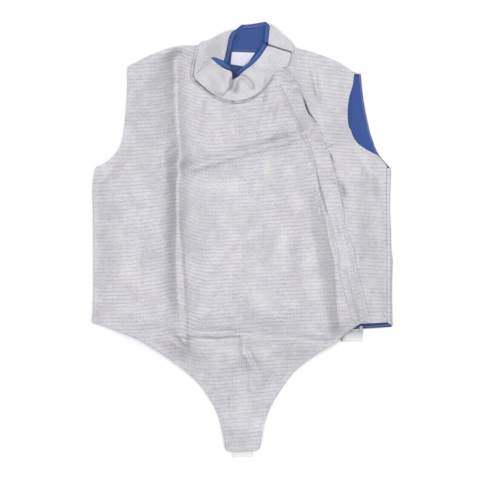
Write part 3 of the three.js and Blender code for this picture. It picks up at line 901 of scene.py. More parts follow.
@dataclass(frozen=True)
class RibbedElastic(Finish):
    """Knitted elastic of rubber and polyester: white, with fine ribs along its length.

    Attributes:
        name: the material's name.
        ground: the colour of the ribs.
        groove: the colour between them.
        grey: the grey painted as shadow where it lies under the hem.
        rib: distance between the ribs, in metres.
        pick: distance between the threads across.
        line: width of a groove.
    """

    name: str = "knitted_elastic"
    ground: str = "#EFEFED"
    groove: str = "#CBCBCC"
    grey: str = "#A9AAAD"
    rib: float = 0.0016
    pick: float = 0.0012
    line: float = 0.0005

    def build(self, nodes: Nodes) -> None:
        """Adds the finish's nodes."""
        across, along = nodes.weave()
        groove = nodes.lines(along, self.rib, self.line, self.line)
        picks = nodes.lines(across, self.pick, self.line, self.line)
        weak = nodes.add("Math", picks, 0.3, operation="MULTIPLY")
        mark = nodes.add("Math", groove, 0.6, weak, operation="MULTIPLY_ADD")
        # Painted shadow: the elastic turns grey where it lies under the hem
        deep = nodes.add("Attribute", out="Fac", attribute_name="deep")
        nodes.set(
            Base_Color=nodes.layered(self.ground, (mark, 0.7, self.groove), (deep, 1.0, self.grey)),
            Roughness=0.7, Sheen_Weight=0.2,
            Normal=nodes.add("Bump", inputs={"Height": mark, "Strength": 0.5, "Distance": -0.0003}))


@dataclass(frozen=True)
class SatinRibbon(Finish):
    """Woven satin ribbon for the neck label: white with a soft lustre.

    Attributes:
        name: the material's name.
        ground: the ribbon's own colour.
        shade: the colour between its threads.
        pitch: distance between the threads, in metres.
        line: width of the gap between them.
    """

    name: str = "woven_satin_ribbon"
    ground: str = "#DDDDEB"
    shade: str = "#CBCCE0"
    pitch: float = 0.0009
    line: float = 0.0004

    def build(self, nodes: Nodes) -> None:
        """Adds the finish's nodes."""
        _, along = nodes.weave()
        floats = nodes.lines(along, self.pitch, self.line, self.line)
        soft = nodes.add("Math", nodes.clouds(60), 0.5, operation="MULTIPLY")
        mark = nodes.add("Math", floats, 0.4, soft, operation="MULTIPLY_ADD")
        nodes.set(
            Base_Color=nodes.layered(self.ground, (mark, 1.0, self.shade)), Roughness=0.42,
            Sheen_Weight=0.1,
            Normal=nodes.add("Bump", inputs={"Height": floats, "Strength": 0.3, "Distance": 0.0001}))


@dataclass(frozen=True)
class SewingThread(Finish):
    """Twisted polyester thread: pale, with a slight lustre and a twist that shows as a fine bump.

    Attributes:
        name: the material's name.
        ground: the thread's own colour.
        soiled: the colour where it is soiled.
        twist: length of a turn of its twist, in metres.
    """

    name: str = "twisted_polyester_thread"
    ground: str = "#C9C9D0"
    soiled: str = "#8E8E98"
    twist: float = 0.0006

    def build(self, nodes: Nodes) -> None:
        """Adds the finish's nodes."""
        tone = nodes.clouds(500, 0.3, 0.7, 0, 0.35, detail=2)
        turns = nodes.clouds(1 / self.twist, detail=2)
        nodes.set(
            Base_Color=nodes.layered(self.ground, (tone, 1.0, self.soiled)), Roughness=0.5,
            Normal=nodes.add("Bump", inputs={"Height": turns, "Strength": 0.4, "Distance": 0.0001}))


@dataclass(frozen=True)
class Backdrop(Finish):
    """Matt painted board: plain and pale.

    Attributes:
        name: the material's name.
        paint: the colour of the paint.
    """

    name: str = "matt_painted_board"
    paint: str = "#FBFBFB"

    def build(self, nodes: Nodes) -> None:
        """Adds the finish's nodes."""
        nodes.set(Base_Color=linear(self.paint), Roughness=0.9, Specular_IOR_Level=0.1)


class Wardrobe:
    """Every finish, made once."""

    def __init__(self) -> None:
        """Makes the materials."""
        self.silver = SilverCloth().make()
        bias = SilverCloth(name="metallic_ripstop_on_the_bias", line_strength=0.3, rib=0.005)
        self.collar_silver = bias.make()
        self.lining = PlainWeave().make()
        self.binding = PlainWeave(name="dyed_polyester_tape", ground="#315596", shade="#264582").make()
        self.elastic = RibbedElastic().make()
        self.label = SatinRibbon().make()
        self.thread = SewingThread().make()
        self.white_thread = SewingThread(name="twisted_white_thread", ground="#F4F4F2").make()
        # Dark grey thread; its second row at the neck is painted shadow under the front collar's edge
        self.dark_thread_and_shadow_line = SewingThread(name="twisted_dark_thread_and_painted_shadow", ground="#77777F").make()
        self.grey_thread = SewingThread(name="twisted_grey_thread", ground="#9AA3B8").make()
        self.blue_thread = SewingThread(name="twisted_thread_on_blue", ground="#8FA3C8").make()
        self.board = Backdrop().make()


# Panels


@dataclass(frozen=True)
class Patch:
    """A patch where the cloth's tone differs.

    Attributes:
        x: its middle, in millimetres.
        y: the same, along.
        reach_x: how far it reaches across.
        reach_y: how far it reaches along.
        strength: how strong it is in the middle, from 0 to 1.
    """

    x: float
    y: float
    reach_x: float
    reach_y: float
    strength: float


# Brighter patches on the silver, partly rubbed by wear and partly painted highlight; painted shade along its
# folds and hollows; painted shade on the lining and elastics where they lie deep or under the hem
WORN_AND_HIGHLIT: list[Patch] = [
    Patch(-32, 92, 36, 13, 1.0),
    Patch(45, 121, 8, 22, 0.9),
    Patch(-205, -62, 26, 46, 0.45),
    Patch(-218, 10, 22, 30, 0.4),
    Patch(-190, -120, 30, 14, 0.4),
    Patch(72, -10, 9, 30, 0.8),
    Patch(30, -97, 18, 18, 0.7),
    Patch(177, -33, 8, 24, 0.7),
    Patch(201, 121, 22, 16, 0.35),
    Patch(208, 60, 22, 30, 0.5),
    Patch(-150, 150, 18, 14, 0.3),
    Patch(-45, 210, 26, 24, 0.4),
    Patch(-20, 30, 30, 22, 0.3),
    Patch(0, -300, 12, 28, 0.6),
    Patch(-60, -215, 24, 14, 0.5),
    Patch(4, -193, 95, 13, 0.7),
    Patch(222, -90, 18, 50, 0.5),
    Patch(232, 20, 12, 44, 0.5),
    Patch(-240, 128, 10, 12, 0.7),
]
# Painted shade on the silver, laid where folds, the climb to the fly and the collar's hollow are shaded
PAINTED_FOLD_SHADE: list[Patch] = [
    Patch(-127, 20, 9, 120, 0.55),
    Patch(-102, 70, 10, 130, 0.4),
    Patch(-72, 40, 20, 80, 0.3),
    Patch(94, 204, 14, 30, 0.5),
    Patch(103, 210, 11, 14, 1.0),
    Patch(0, -153, 160, 7, 0.7),
    Patch(126, 84, 10, 22, 0.4),
    Patch(-36, 143, 20, 6, 0.3),
    Patch(6, 157, 24, 7, 0.5),
    Patch(46, 168, 24, 7, 0.6),
    Patch(84, 179, 22, 8, 0.5),
    Patch(-120, 48, 5, 60, 0.7),
    Patch(-15, 267, 8, 10, 0.9),
    Patch(70, -157, 60, 5, 0.9),
]
# Painted shade on the lining and the elastics: inside the collar, at the armholes, along the right hem and
# under the hem
PAINTED_SHADE: list[Patch] = [
    Patch(-16, 286, 26, 13, 0.9),
    Patch(-10, 355, 4, 12, 0.6),
    Patch(-24, 322, 6, 20, 0.5),
    Patch(232, -158, 70, 13, 1.0),
    Patch(201, 288, 9, 4, 0.9),
    Patch(252, 131, 7, 8, 0.7),
    Patch(189, 212, 4, 40, 0.35),
    Patch(192, -158, 40, 8, 0.9),
    Patch(172, -174, 7, 8, 1.0),
]


def patched(patches: Sequence[Patch], x: Array, y: Array) -> Array:
    """How much of a tone the cloth has at each point, from 0 to 1."""
    total = np.zeros(np.shape(x))
    for patch in patches:
        off = ((x - patch.x) / patch.reach_x) ** 2 + ((y - patch.y) / patch.reach_y) ** 2
        total = np.maximum(total, patch.strength * np.exp(-off))
    return total


def finished(bm: bmesh.types.BMesh, name: str) -> bpy.types.Mesh:
    """The mesh that a bmesh holds, which is freed."""
    mesh = bpy.data.meshes.new(name)
    bm.to_mesh(mesh)
    bm.free()
    return mesh


def grid(name: str, across: int, along: int, size: float = 0.5) -> bpy.types.Mesh:
    """A flat square mesh from -size to size, of so many faces each way."""
    bm = bmesh.new()
    bmesh.ops.create_grid(bm, x_segments=across, y_segments=along, size=size)
    return finished(bm, name)


def spots_of(mesh: bpy.types.Mesh) -> Array:
    """The mesh's vertices, a row of x, y, z for each."""
    spots = np.zeros(len(mesh.vertices) * 3)
    mesh.vertices.foreach_get("co", spots)
    return spots.reshape(-1, 3)


def move_to(mesh: bpy.types.Mesh, x: Array, y: Array, z: Array) -> None:
    """Moves the mesh's vertices to x, y, z in millimetres."""
    mesh.vertices.foreach_set("co", (np.stack([x, y, z], axis=1) * MM).ravel())


def put(name: str, data: bpy.types.ID) -> bpy.types.Object:
    """A new object in the scene that holds a mesh, a light or a camera."""
    piece = bpy.data.objects.new(name, data)
    bpy.context.scene.collection.objects.link(piece)
    return piece


def ride(piece: bpy.types.Object, slot: Slot, *nodes: str) -> None:
    """Ties a finished piece to the garment's body and hides the solids that it stands for."""
    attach(piece, "root")
    if nodes:
        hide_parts(*nodes)
    LOG.info("%s: %d faces", piece.name, len(piece.data.polygons))


@dataclass
class Panel:
    """A cut piece of cloth, shaped between its four edges.

    Attributes:
        name: the piece's name.
        bottom: its lower edge, left to right.
        top: its upper edge, left to right.
        left: its left edge, upwards.
        right: its right edge, upwards.
        columns: faces across.
        rows: faces along.
        thickness: the cloth's, in millimetres.
        under: height of the solid's underside at x, y.
        wall: thickness of the solid; the cloth hangs from the top of it.
        grain: how the weave runs.
        crowd: how far the grid crowds towards its edges, from 0 to 1.
        hem: how far the turned edge reaches, in millimetres, or 0.
        hem_edges: the edges that are turned.
        focus: where across the grid is finer, how wide that stretch is, and by how much.
        focus_along: the same along it.
        close_rows: distances from each edge, in millimetres, at which a row of the grid lies.
    """

    name: str
    bottom: Edge | Rows
    top: Edge | Rows
    left: Edge | Rows
    right: Edge | Rows
    columns: int
    rows: int
    under: Surface
    thickness: float = 0.9
    wall: float = FRONT
    grain: Grain = Grain.STRAIGHT
    crowd: float = 0.45
    hem: float = 0.0
    hem_edges: tuple[Rows, ...] = ()
    focus: tuple[float, float, float] = (0.5, 1.0, 0.0)
    focus_along: tuple[float, float, float] = (0.5, 1.0, 0.0)
    close_rows: tuple[float, ...] = (0.2, 0.9, 2.0, 3.3)

    FINENESS = 2001
    NARROW = 60  # a panel up to this wide has no close rows, in millimetres

    def __post_init__(self) -> None:
        """Turns each side that is given as plain rows into an edge."""
        for side in ("bottom", "top", "left", "right"):
            rows = getattr(self, side)
            if not isinstance(rows, Edge):
                setattr(self, side, Edge.through(rows))

    def spread(self, t: Array, span: float, focus: tuple[float, float, float]) -> Array:
        """Moves even steps from 0 to 1 so that they crowd at the edges and round the focus.

        Args:
            t: the even steps.
            span: the panel's size that way, in millimetres.
            focus: middle, width and gain of the finer stretch.

        Returns:
            The steps' new places.
        """
        steps = np.unique(np.round(t, 6))
        middle, width, gain = focus
        fine = np.linspace(0, 1, self.FINENESS)
        density = 1 + gain * bell((fine - middle) / width) + self.crowd * (2 * np.abs(fine - 0.5)) ** 4
        filled = np.concatenate([[0], np.cumsum((density[1:] + density[:-1]) / 2)])
        count = len(self.close_rows) if span > self.NARROW else 0
        if count and len(steps) > 6 * count:
            close = np.array(self.close_rows) / span
            inner = np.linspace(0, 1, len(steps) - 2 * count)[1:-1]
            inner = np.interp(inner, filled / filled[-1], fine)
            low, high = close[-1] * 1.4, 1 - close[-1] * 1.4
            inner = low + (high - low) * inner
            places = np.concatenate([[0], close, inner, 1 - close[::-1], [1]])
        else:
            places = np.interp(steps, filled / filled[-1], fine)
        return np.interp(t, steps, places)

    def place(self, u: Array, v: Array) -> tuple[Array, Array]:
        """x and y at u across and v along, both from 0 to 1."""
        u = self.spread(u, (self.bottom.length() + self.top.length()) / 2, self.focus)
        v = self.spread(v, (self.left.length() + self.right.length()) / 2, self.focus_along)
        a, b = u[:, None], v[:, None]
        ends = [self.bottom.at(np.array([0.0, 1.0])), self.top.at(np.array([0.0, 1.0]))]
        ruled = (1 - b) * self.bottom.at(u) + b * self.top.at(u)
        ruled = ruled + (1 - a) * self.left.at(v) + a * self.right.at(v)
        flat = (1 - b) * ((1 - a) * ends[0][0] + a * ends[0][1]) + b * ((1 - a) * ends[1][0] + a * ends[1][1])
        spot = ruled - flat
        return spot[:, 0], spot[:, 1]

    def height(self, x: Array, y: Array) -> Array:
        """Top of the cloth: the solid's top, with its turned hems a thread thicker."""
        z = self.under(x, y) + self.wall
        for rows in self.hem_edges:
            inside = np.abs(distance(x, y, rows))
            turned = 0.35 * smooth((self.hem + 0.8 - inside) / 1.6)
            rounded = 0.15 * smooth((0.9 - inside) / 0.9)
            z = z + turned - rounded
        return z

    def make(self, cloth: bpy.types.Material, inside: bpy.types.Material) -> bpy.types.Object:
        """Builds the piece.

        Args:
            cloth: its outer finish.
            inside: the finish of its other face.

        Returns:
            The finished object.
        """
        mesh = grid(self.name, self.columns, self.rows)
        spots = spots_of(mesh)
        x, y = self.place(np.clip(spots[:, 0] + 0.5, 0, 1), np.clip(spots[:, 1] + 0.5, 0, 1))
        move_to(mesh, x, y, self.height(x, y))
        paint_weave(mesh, self.grain, x, y)
        mesh.materials.append(cloth)
        mesh.materials.append(inside)
        piece = put(self.name, mesh)
        mesh.shade_smooth()
        mesh.update()
        wall = piece.modifiers.new("cloth", "SOLIDIFY")
        wall.thickness = self.thickness * MM
        wall.offset = -1
        wall.material_offset = 1
        wall.material_offset_rim = 0
        wall.use_even_offset = False
        return piece

    def cut(self) -> dict[str, object]:
        """The flat cut's area and the size of its tightest box, turned or not."""
        t = np.linspace(0, 1, 400)
        loop = [self.bottom.at(t), self.right.at(t), self.top.at(t)[::-1], self.left.at(t)[::-1]]
        x, y = (np.vstack(loop) * MM).T
        area = 0.5 * abs(float(np.sum(x * np.roll(y, -1) - y * np.roll(x, -1))))
        boxes = []
        for turn in np.radians(np.arange(0, 90, 2)):
            across = np.ptp(x * math.cos(turn) + y * math.sin(turn))
            along = np.ptp(y * math.cos(turn) - x * math.sin(turn))
            boxes.append((float(across * along), float(across), float(along)))
        _, across, along = min(boxes)
        return {"flat": (across, along), "area": area}


def paint_weave(mesh: bpy.types.Mesh, grain: Grain, x: Array, y: Array) -> None:
    """Lays the weave's UV map on a mesh whose vertices lie at x, y, in millimetres."""
    across, along = weave_map(grain, x, y)
    corners = np.zeros(len(mesh.loops), dtype=np.int64)
    mesh.loops.foreach_get("vertex_index", corners)
    layer = mesh.uv_layers.new(name="weave")
    layer.data.foreach_set("uv", np.stack([across[corners], along[corners]], axis=1).ravel())
    # The brighter patches, partly painted highlight, and the painted shade are laid on the vertices
    for name, patches in (("worn_and_highlit", WORN_AND_HIGHLIT), ("painted_fold_shade", PAINTED_FOLD_SHADE), ("deep", PAINTED_SHADE)):
        mesh.attributes.new(name, "FLOAT", "POINT").data.foreach_set("value", patched(patches, x, y))


@dataclass
class Stitching:
    """Rows of stitches, joined as one piece.

    Attributes:
        name: the piece's name.
        pitch: distance from one stitch to the next, in millimetres.
        length: a stitch's own length.
        gauge: the thread's thickness.
        stand: how far a stitch's middle stands above the cloth, as a share of the gauge.
        lines: the rows added so far, each with the surface that it lies on.
    """

    name: str
    pitch: float = 3.2
    length: float = 2.5
    gauge: float = 0.55
    stand: float = 0.15
    lines: list[tuple[Edge, Surface]] = field(default_factory=list)

    def run(self, rows: Rows, top: Surface) -> None:
        """Adds a row of stitches along rows of x, y, on a surface of that height."""
        self.lines.append((Edge.through(rows), top))

    def make(self, thread: bpy.types.Material) -> bpy.types.Object:
        """Builds every stitch as a stretched bead half sunk in the cloth.

        Args:
            thread: the finish.

        Returns:
            The joined object.
        """
        bm = bmesh.new()
        for edge, top in self.lines:
            count = max(2, int(edge.length() / self.pitch))
            spots = edge.at((np.arange(count) + 0.5) / count)
            ahead = edge.at(np.clip((np.arange(count) + 0.9) / count, 0, 1))
            z = top(spots[:, 0], spots[:, 1])
            z_ahead = top(ahead[:, 0], ahead[:, 1])
            for (x, y), (ax, ay), low, high in zip(spots, ahead, z, z_ahead):
                way = Vector((ax - x, ay - y, high - low)).normalized()
                turn = way.to_track_quat("X", "Z").to_matrix().to_4x4()
                size = Matrix.Diagonal((self.length / 2, self.gauge / 2, self.gauge / 2, 1))
                spot = Matrix.Translation((x, y, low + self.gauge * self.stand))
                place = Matrix.Scale(MM, 4) @ spot @ turn @ size
                bmesh.ops.create_icosphere(bm, subdivisions=1, radius=1, matrix=place)
        mesh = finished(bm, self.name)
        mesh.materials.append(thread)
        mesh.shade_smooth()
        return put(self.name, mesh)


def inward(rows: Rows, gap: float) -> Rows:
    """Rows moved to the left of their own direction by a gap."""
    out = []
    for i, (x, y) in enumerate(rows):
        ax, ay = rows[max(i - 1, 0)]
        bx, by = rows[min(i + 1, len(rows) - 1)]
        length = math.hypot(bx - ax, by - ay)
        out.append((x - gap * (by - ay) / length, y + gap * (bx - ax) / length))
    return out


def strip_panel(name: str, rows: Rows, width: float, under: Surface, wall: float, columns: int = 40) -> Panel:
    """A narrow tape to the left of rows.

    Args:
        name: the piece's name.
        rows: the tape's sewn edge.
        width: its width in millimetres.
        under: height of its underside.
        wall: its thickness.
        columns: faces along it.

    Returns:
        The panel.
    """
    outer = inward(rows, width)
    return Panel(name, rows, outer, [rows[0], outer[0]], [rows[-1], outer[-1]], columns, 6, under,
                 thickness=wall * 0.9, wall=wall, crowd=0.0)


@dataclass
class Back:
    """The back of the garment: silver cloth on the floor, with the blue lining on it.

    Attributes:
        inset: how far the lining's edge lies inside the cloth's, in millimetres.
    """

    inset: float = 1.2

    def edges(self, inset: float) -> dict[str, Edge | Rows]:
        """The back's four edges, moved inwards."""
        shoulder = (208.5 - inset, 290 - 2 * inset)
        neck_left, neck_right = (-80, 337.3 - inset), (93, 334.4 - inset)
        slope = shifted(SHOULDER_LEFT[1:-1], 0, -0.7 - inset)
        slope_right = [(122, 327.2 - inset), (161, 312.6 - inset), (190, 295 - 2 * inset)]
        hem = shifted(BACK_HEM[1:-1], 0, inset)
        return {
            "left": Edge((0.5, shifted(SIDE_LEFT, inset, 0)), (0.5, shifted(ARMHOLE_LEFT, inset, 0))),
            "right": Edge(
                (0.5, shifted(BACK_SIDE_RIGHT, -inset, 0)),
                (0.5, [*shifted(BACK_ARMHOLE_RIGHT[:-1], -inset, 0), shoulder]),
            ),
            "top": Edge(
                (0.3, [(-SHOULDER_X + inset, SHOULDER_Y), *slope, neck_left]),
                (0.4, [neck_left, *shifted(NECK_BACK[1:-1], 0, -SEAM), neck_right]),
                (0.3, [neck_right, *slope_right, shoulder]),
            ),
            "bottom": [(-262.3 + inset, HEM_Y + 1), *hem, (262.5 - inset, -153)],
        }

    def cloth_bed(self, x: Array, y: Array) -> Array:
        """Underside of the back, which its folds lift off the floor."""
        return 0.15 + np.maximum(0, raised(x, y, BACK_FOLDS)) * 0.3

    def lining_bed(self, x: Array, y: Array) -> Array:
        """Underside of the lining, which puckers beside the armhole."""
        puckers = 0.25 * np.abs(DRAPE.gathers(x, y, BACK_ARMHOLE_RIGHT, 9, 10))
        return LINING_Z + puckers + 0.12 * DRAPE.unevenness(x, y)

    def make(self, wardrobe: Wardrobe) -> None:
        """Builds the back panel, its lining and their stitches."""
        panel = Panel("back_cloth", **self.edges(0), columns=120, rows=110, wall=SHELL, thickness=0.8,
                      under=self.cloth_bed, crowd=0.2)
        cloth = panel.make(wardrobe.silver, wardrobe.silver)
        ride(cloth, Slot.SILVER, "back_panel")
        panel.cut()
        lining = Panel("back_lining_cloth", **self.edges(self.inset), columns=130, rows=120, wall=LINING,
                       thickness=0.7, under=self.lining_bed, crowd=0.3)
        sheet = lining.make(wardrobe.lining, wardrobe.lining)
        stitches = Stitching("lining_stitches", pitch=3.0, length=2.7, gauge=1.2)
        top = level(LINING_Z + LINING)
        stitches.run(inward(BACK_ARMHOLE_RIGHT, 3.2), top)
        stitches.run(inward([(100, -162), (215, -157), (262, -153)], 4.0), top)
        sewn = stitches.make(wardrobe.grey_thread)
        ride(sheet, Slot.LINING, "back_lining")
        ride(sewn, Slot.ELASTIC)
        lining.cut()


@dataclass
class Front:
    """The front panel with its tongue, the side front beneath it and the strip round the right side.

    Attributes:
        hem: how far the turned edge reaches, in millimetres.
    """

    hem: float = 6.0

    def front(self, wardrobe: Wardrobe) -> None:
        """Builds the front panel, its stitches, the seam round the neck and a dark thread line painted as
        shadow under the front collar's edge.
        """
        under_fly = [(219, -145.5), *shifted(FLY_OUTER[1:-1], -FLY_UNDERLAP, 0), (70, 301)]
        hem_edges = (SIDE_LEFT, ARMHOLE_LEFT[1:], *[rows for _, rows in TONGUE])
        panel = Panel(
            "front_cloth", left=Edge((0.5, SIDE_LEFT), (0.5, ARMHOLE_LEFT)), right=under_fly,
            top=Edge((0.2, SHOULDER_LEFT), (0.1, [NECK_SIDE[0], (-70, 326), (-68, 305), (-66, 283)]),
                     (0.7, [(-66, 283), (-62, 271), (-55, 262.5), (-43, 253.5), (-24, 245.6), (-9, 244.4),
                            (13, 249), (32, 262.5), (49, 284), (58, 297), (70, 301)])),
            bottom=Edge(*TONGUE),
            columns=196, rows=235, under=DRAPE.front, grain=Grain.FRONT, hem=self.hem, hem_edges=hem_edges,
            crowd=0.2, focus=(0.36, 0.07, 2.2), focus_along=(0.19, 0.13, 0.9))
        front = panel.make(wardrobe.silver, wardrobe.lining)
        stitches = Stitching("front_stitches")
        stitches.run(inward(backwards(SIDE_LEFT), self.hem), panel.height)
        stitches.run(inward(backwards(ARMHOLE_LEFT), self.hem), panel.height)
        for _, rows in TONGUE:
            stitches.run(inward(rows, self.hem - 1.5), panel.height)
        stitches.run(inward(backwards(SHOULDER_LEFT), 2.5), panel.height)
        sewn = stitches.make(wardrobe.thread)
        seam = Stitching("neck_stitches_and_painted_shadow", length=3.0, gauge=0.9)
        seam.run([(-79, 339), (-83, 324), (-87, 308), (-90, 288), (-85, 275), (-63, 256), (-48, 246.5),
                  (-27, 238.4), (-8, 237.2), (14, 241)], panel.height)
        # Painted shadow: this row of dark thread lies along the front collar's lower edge, where only its
        # shadow falls
        seam.run([(14, 243.2), (25, 250), (36.5, 257.5), (46.5, 268.5), (54.5, 279.5), (60, 287.5)],
                 panel.height)
        seam = seam.make(wardrobe.dark_thread_and_shadow_line)
        ride(front, Slot.SILVER, "front_panel")
        ride(sewn, Slot.SILVER)
        ride(seam, Slot.SILVER)
        panel.cut()

    def side(self, wardrobe: Wardrobe) -> None:
        """Builds the side front and its stitches."""
        side = Panel(
            "side_cloth",
            left=[(193 - SIDE_UNDERLAP, HEM_Y - 4), *shifted(FLY_INNER, -SIDE_UNDERLAP, 0)[1:-1], (58, 290)],
            right=Edge((0.5, [(253.5, HEM_Y + 1), (253, -100), (253, 0), (252, 80), (253, 124)]),
                       (0.5, FRONT_ARMHOLE_RIGHT)),
            top=Edge((0.4, [(58, 290), (72, 304), (83, 316), (86, 321), (92, 335)]), (0.6, SHOULDER_RIGHT)),
            bottom=[(193 - SIDE_UNDERLAP, HEM_Y - 4), (215, -147), (240, -146), (253.5, HEM_Y + 1)],
            columns=90, rows=190, under=DRAPE.side, grain=Grain.SIDE, hem=self.hem,
            hem_edges=(FRONT_ARMHOLE_RIGHT[1:], [(179, -150), (215, -149), (253.5, -145)]), crowd=0.3)
        side_cloth = side.make(wardrobe.silver, wardrobe.lining)
        stitches = Stitching("side_stitches")
        stitches.run(inward(FRONT_ARMHOLE_RIGHT[:-1], self.hem - 1), side.height)
        stitches.run([(225, -143), (250, -140)], side.height)
        stitches.run([(249.5, -140), (249.5, 0), (248.5, 80), (249, 120)], side.height)
        sewn = stitches.make(wardrobe.thread)
        ride(side_cloth, Slot.SILVER, "side_front")
        ride(sewn, Slot.SILVER)
        side.cut()

    def wrap_bed(self, x: Array, y: Array) -> Array:
        """Underside of the strip, which bends down to the back's side edge."""
        return FRONT_Z + 0.6 - 1.1 * smooth((x - 257) / 7)

    def wrap(self, wardrobe: Wardrobe) -> None:
        """Builds the strip that wraps round from the back."""
        wrap = Panel(
            "side_wrap_cloth",
            left=[(253.8, HEM_Y + 1), (253.3, -100), (253.3, 0), (252.3, 80), (253.3, 124)],
            right=[(263, -151), *shifted(BACK_SIDE_RIGHT[1:-1], 0.3, 0), (260, 125)],
            bottom=[(253.8, HEM_Y + 1), (263, -151)], top=[(253.3, 124), (260, 125)],
            columns=10, rows=150, wall=SHELL, thickness=0.9, under=self.wrap_bed, grain=Grain.SIDE,
            crowd=0.2)
        strip = wrap.make(wardrobe.silver, wardrobe.lining)
        ride(strip, Slot.SILVER, "side_wrap")
        wrap.cut()

    def make(self, wardrobe: Wardrobe) -> None:
        """Builds the three pieces and their stitches."""
        self.front(wardrobe)
        self.side(wardrobe)
        self.wrap(wardrobe)


@dataclass
class Fly:
    """The band over the fastening, sewn along its inner edge and free along its outer one.

    Attributes:
        sewn_in: how far the stitches lie from its edges, in millimetres.
    """

    sewn_in: float = 3.0

    def make(self, wardrobe: Wardrobe) -> None:
        """Builds the band and its stitches."""
        band = Panel(
            "fly_cloth", left=backwards(FLY_SEWN), right=backwards(FLY_FREE),
            bottom=[FLY_SEWN[-1], FLY_FREE[-1]], top=[FLY_SEWN[0], (70, 287), FLY_FREE[0]],
            columns=30, rows=300, under=DRAPE.fly, grain=Grain.BAND, hem=3.0, hem_edges=(FLY_FREE,),
            crowd=0.35)
        cloth = band.make(wardrobe.silver, wardrobe.lining)
        stitches = Stitching("fly_stitches")
        stitches.run(inward(FLY_SEWN, self.sewn_in), band.height)
        stitches.run(inward(backwards(FLY_FREE), self.sewn_in), band.height)
        sewn = stitches.make(wardrobe.thread)
        ride(cloth, Slot.SILVER, "fly_band")
        ride(sewn, Slot.SILVER)
        band.cut()


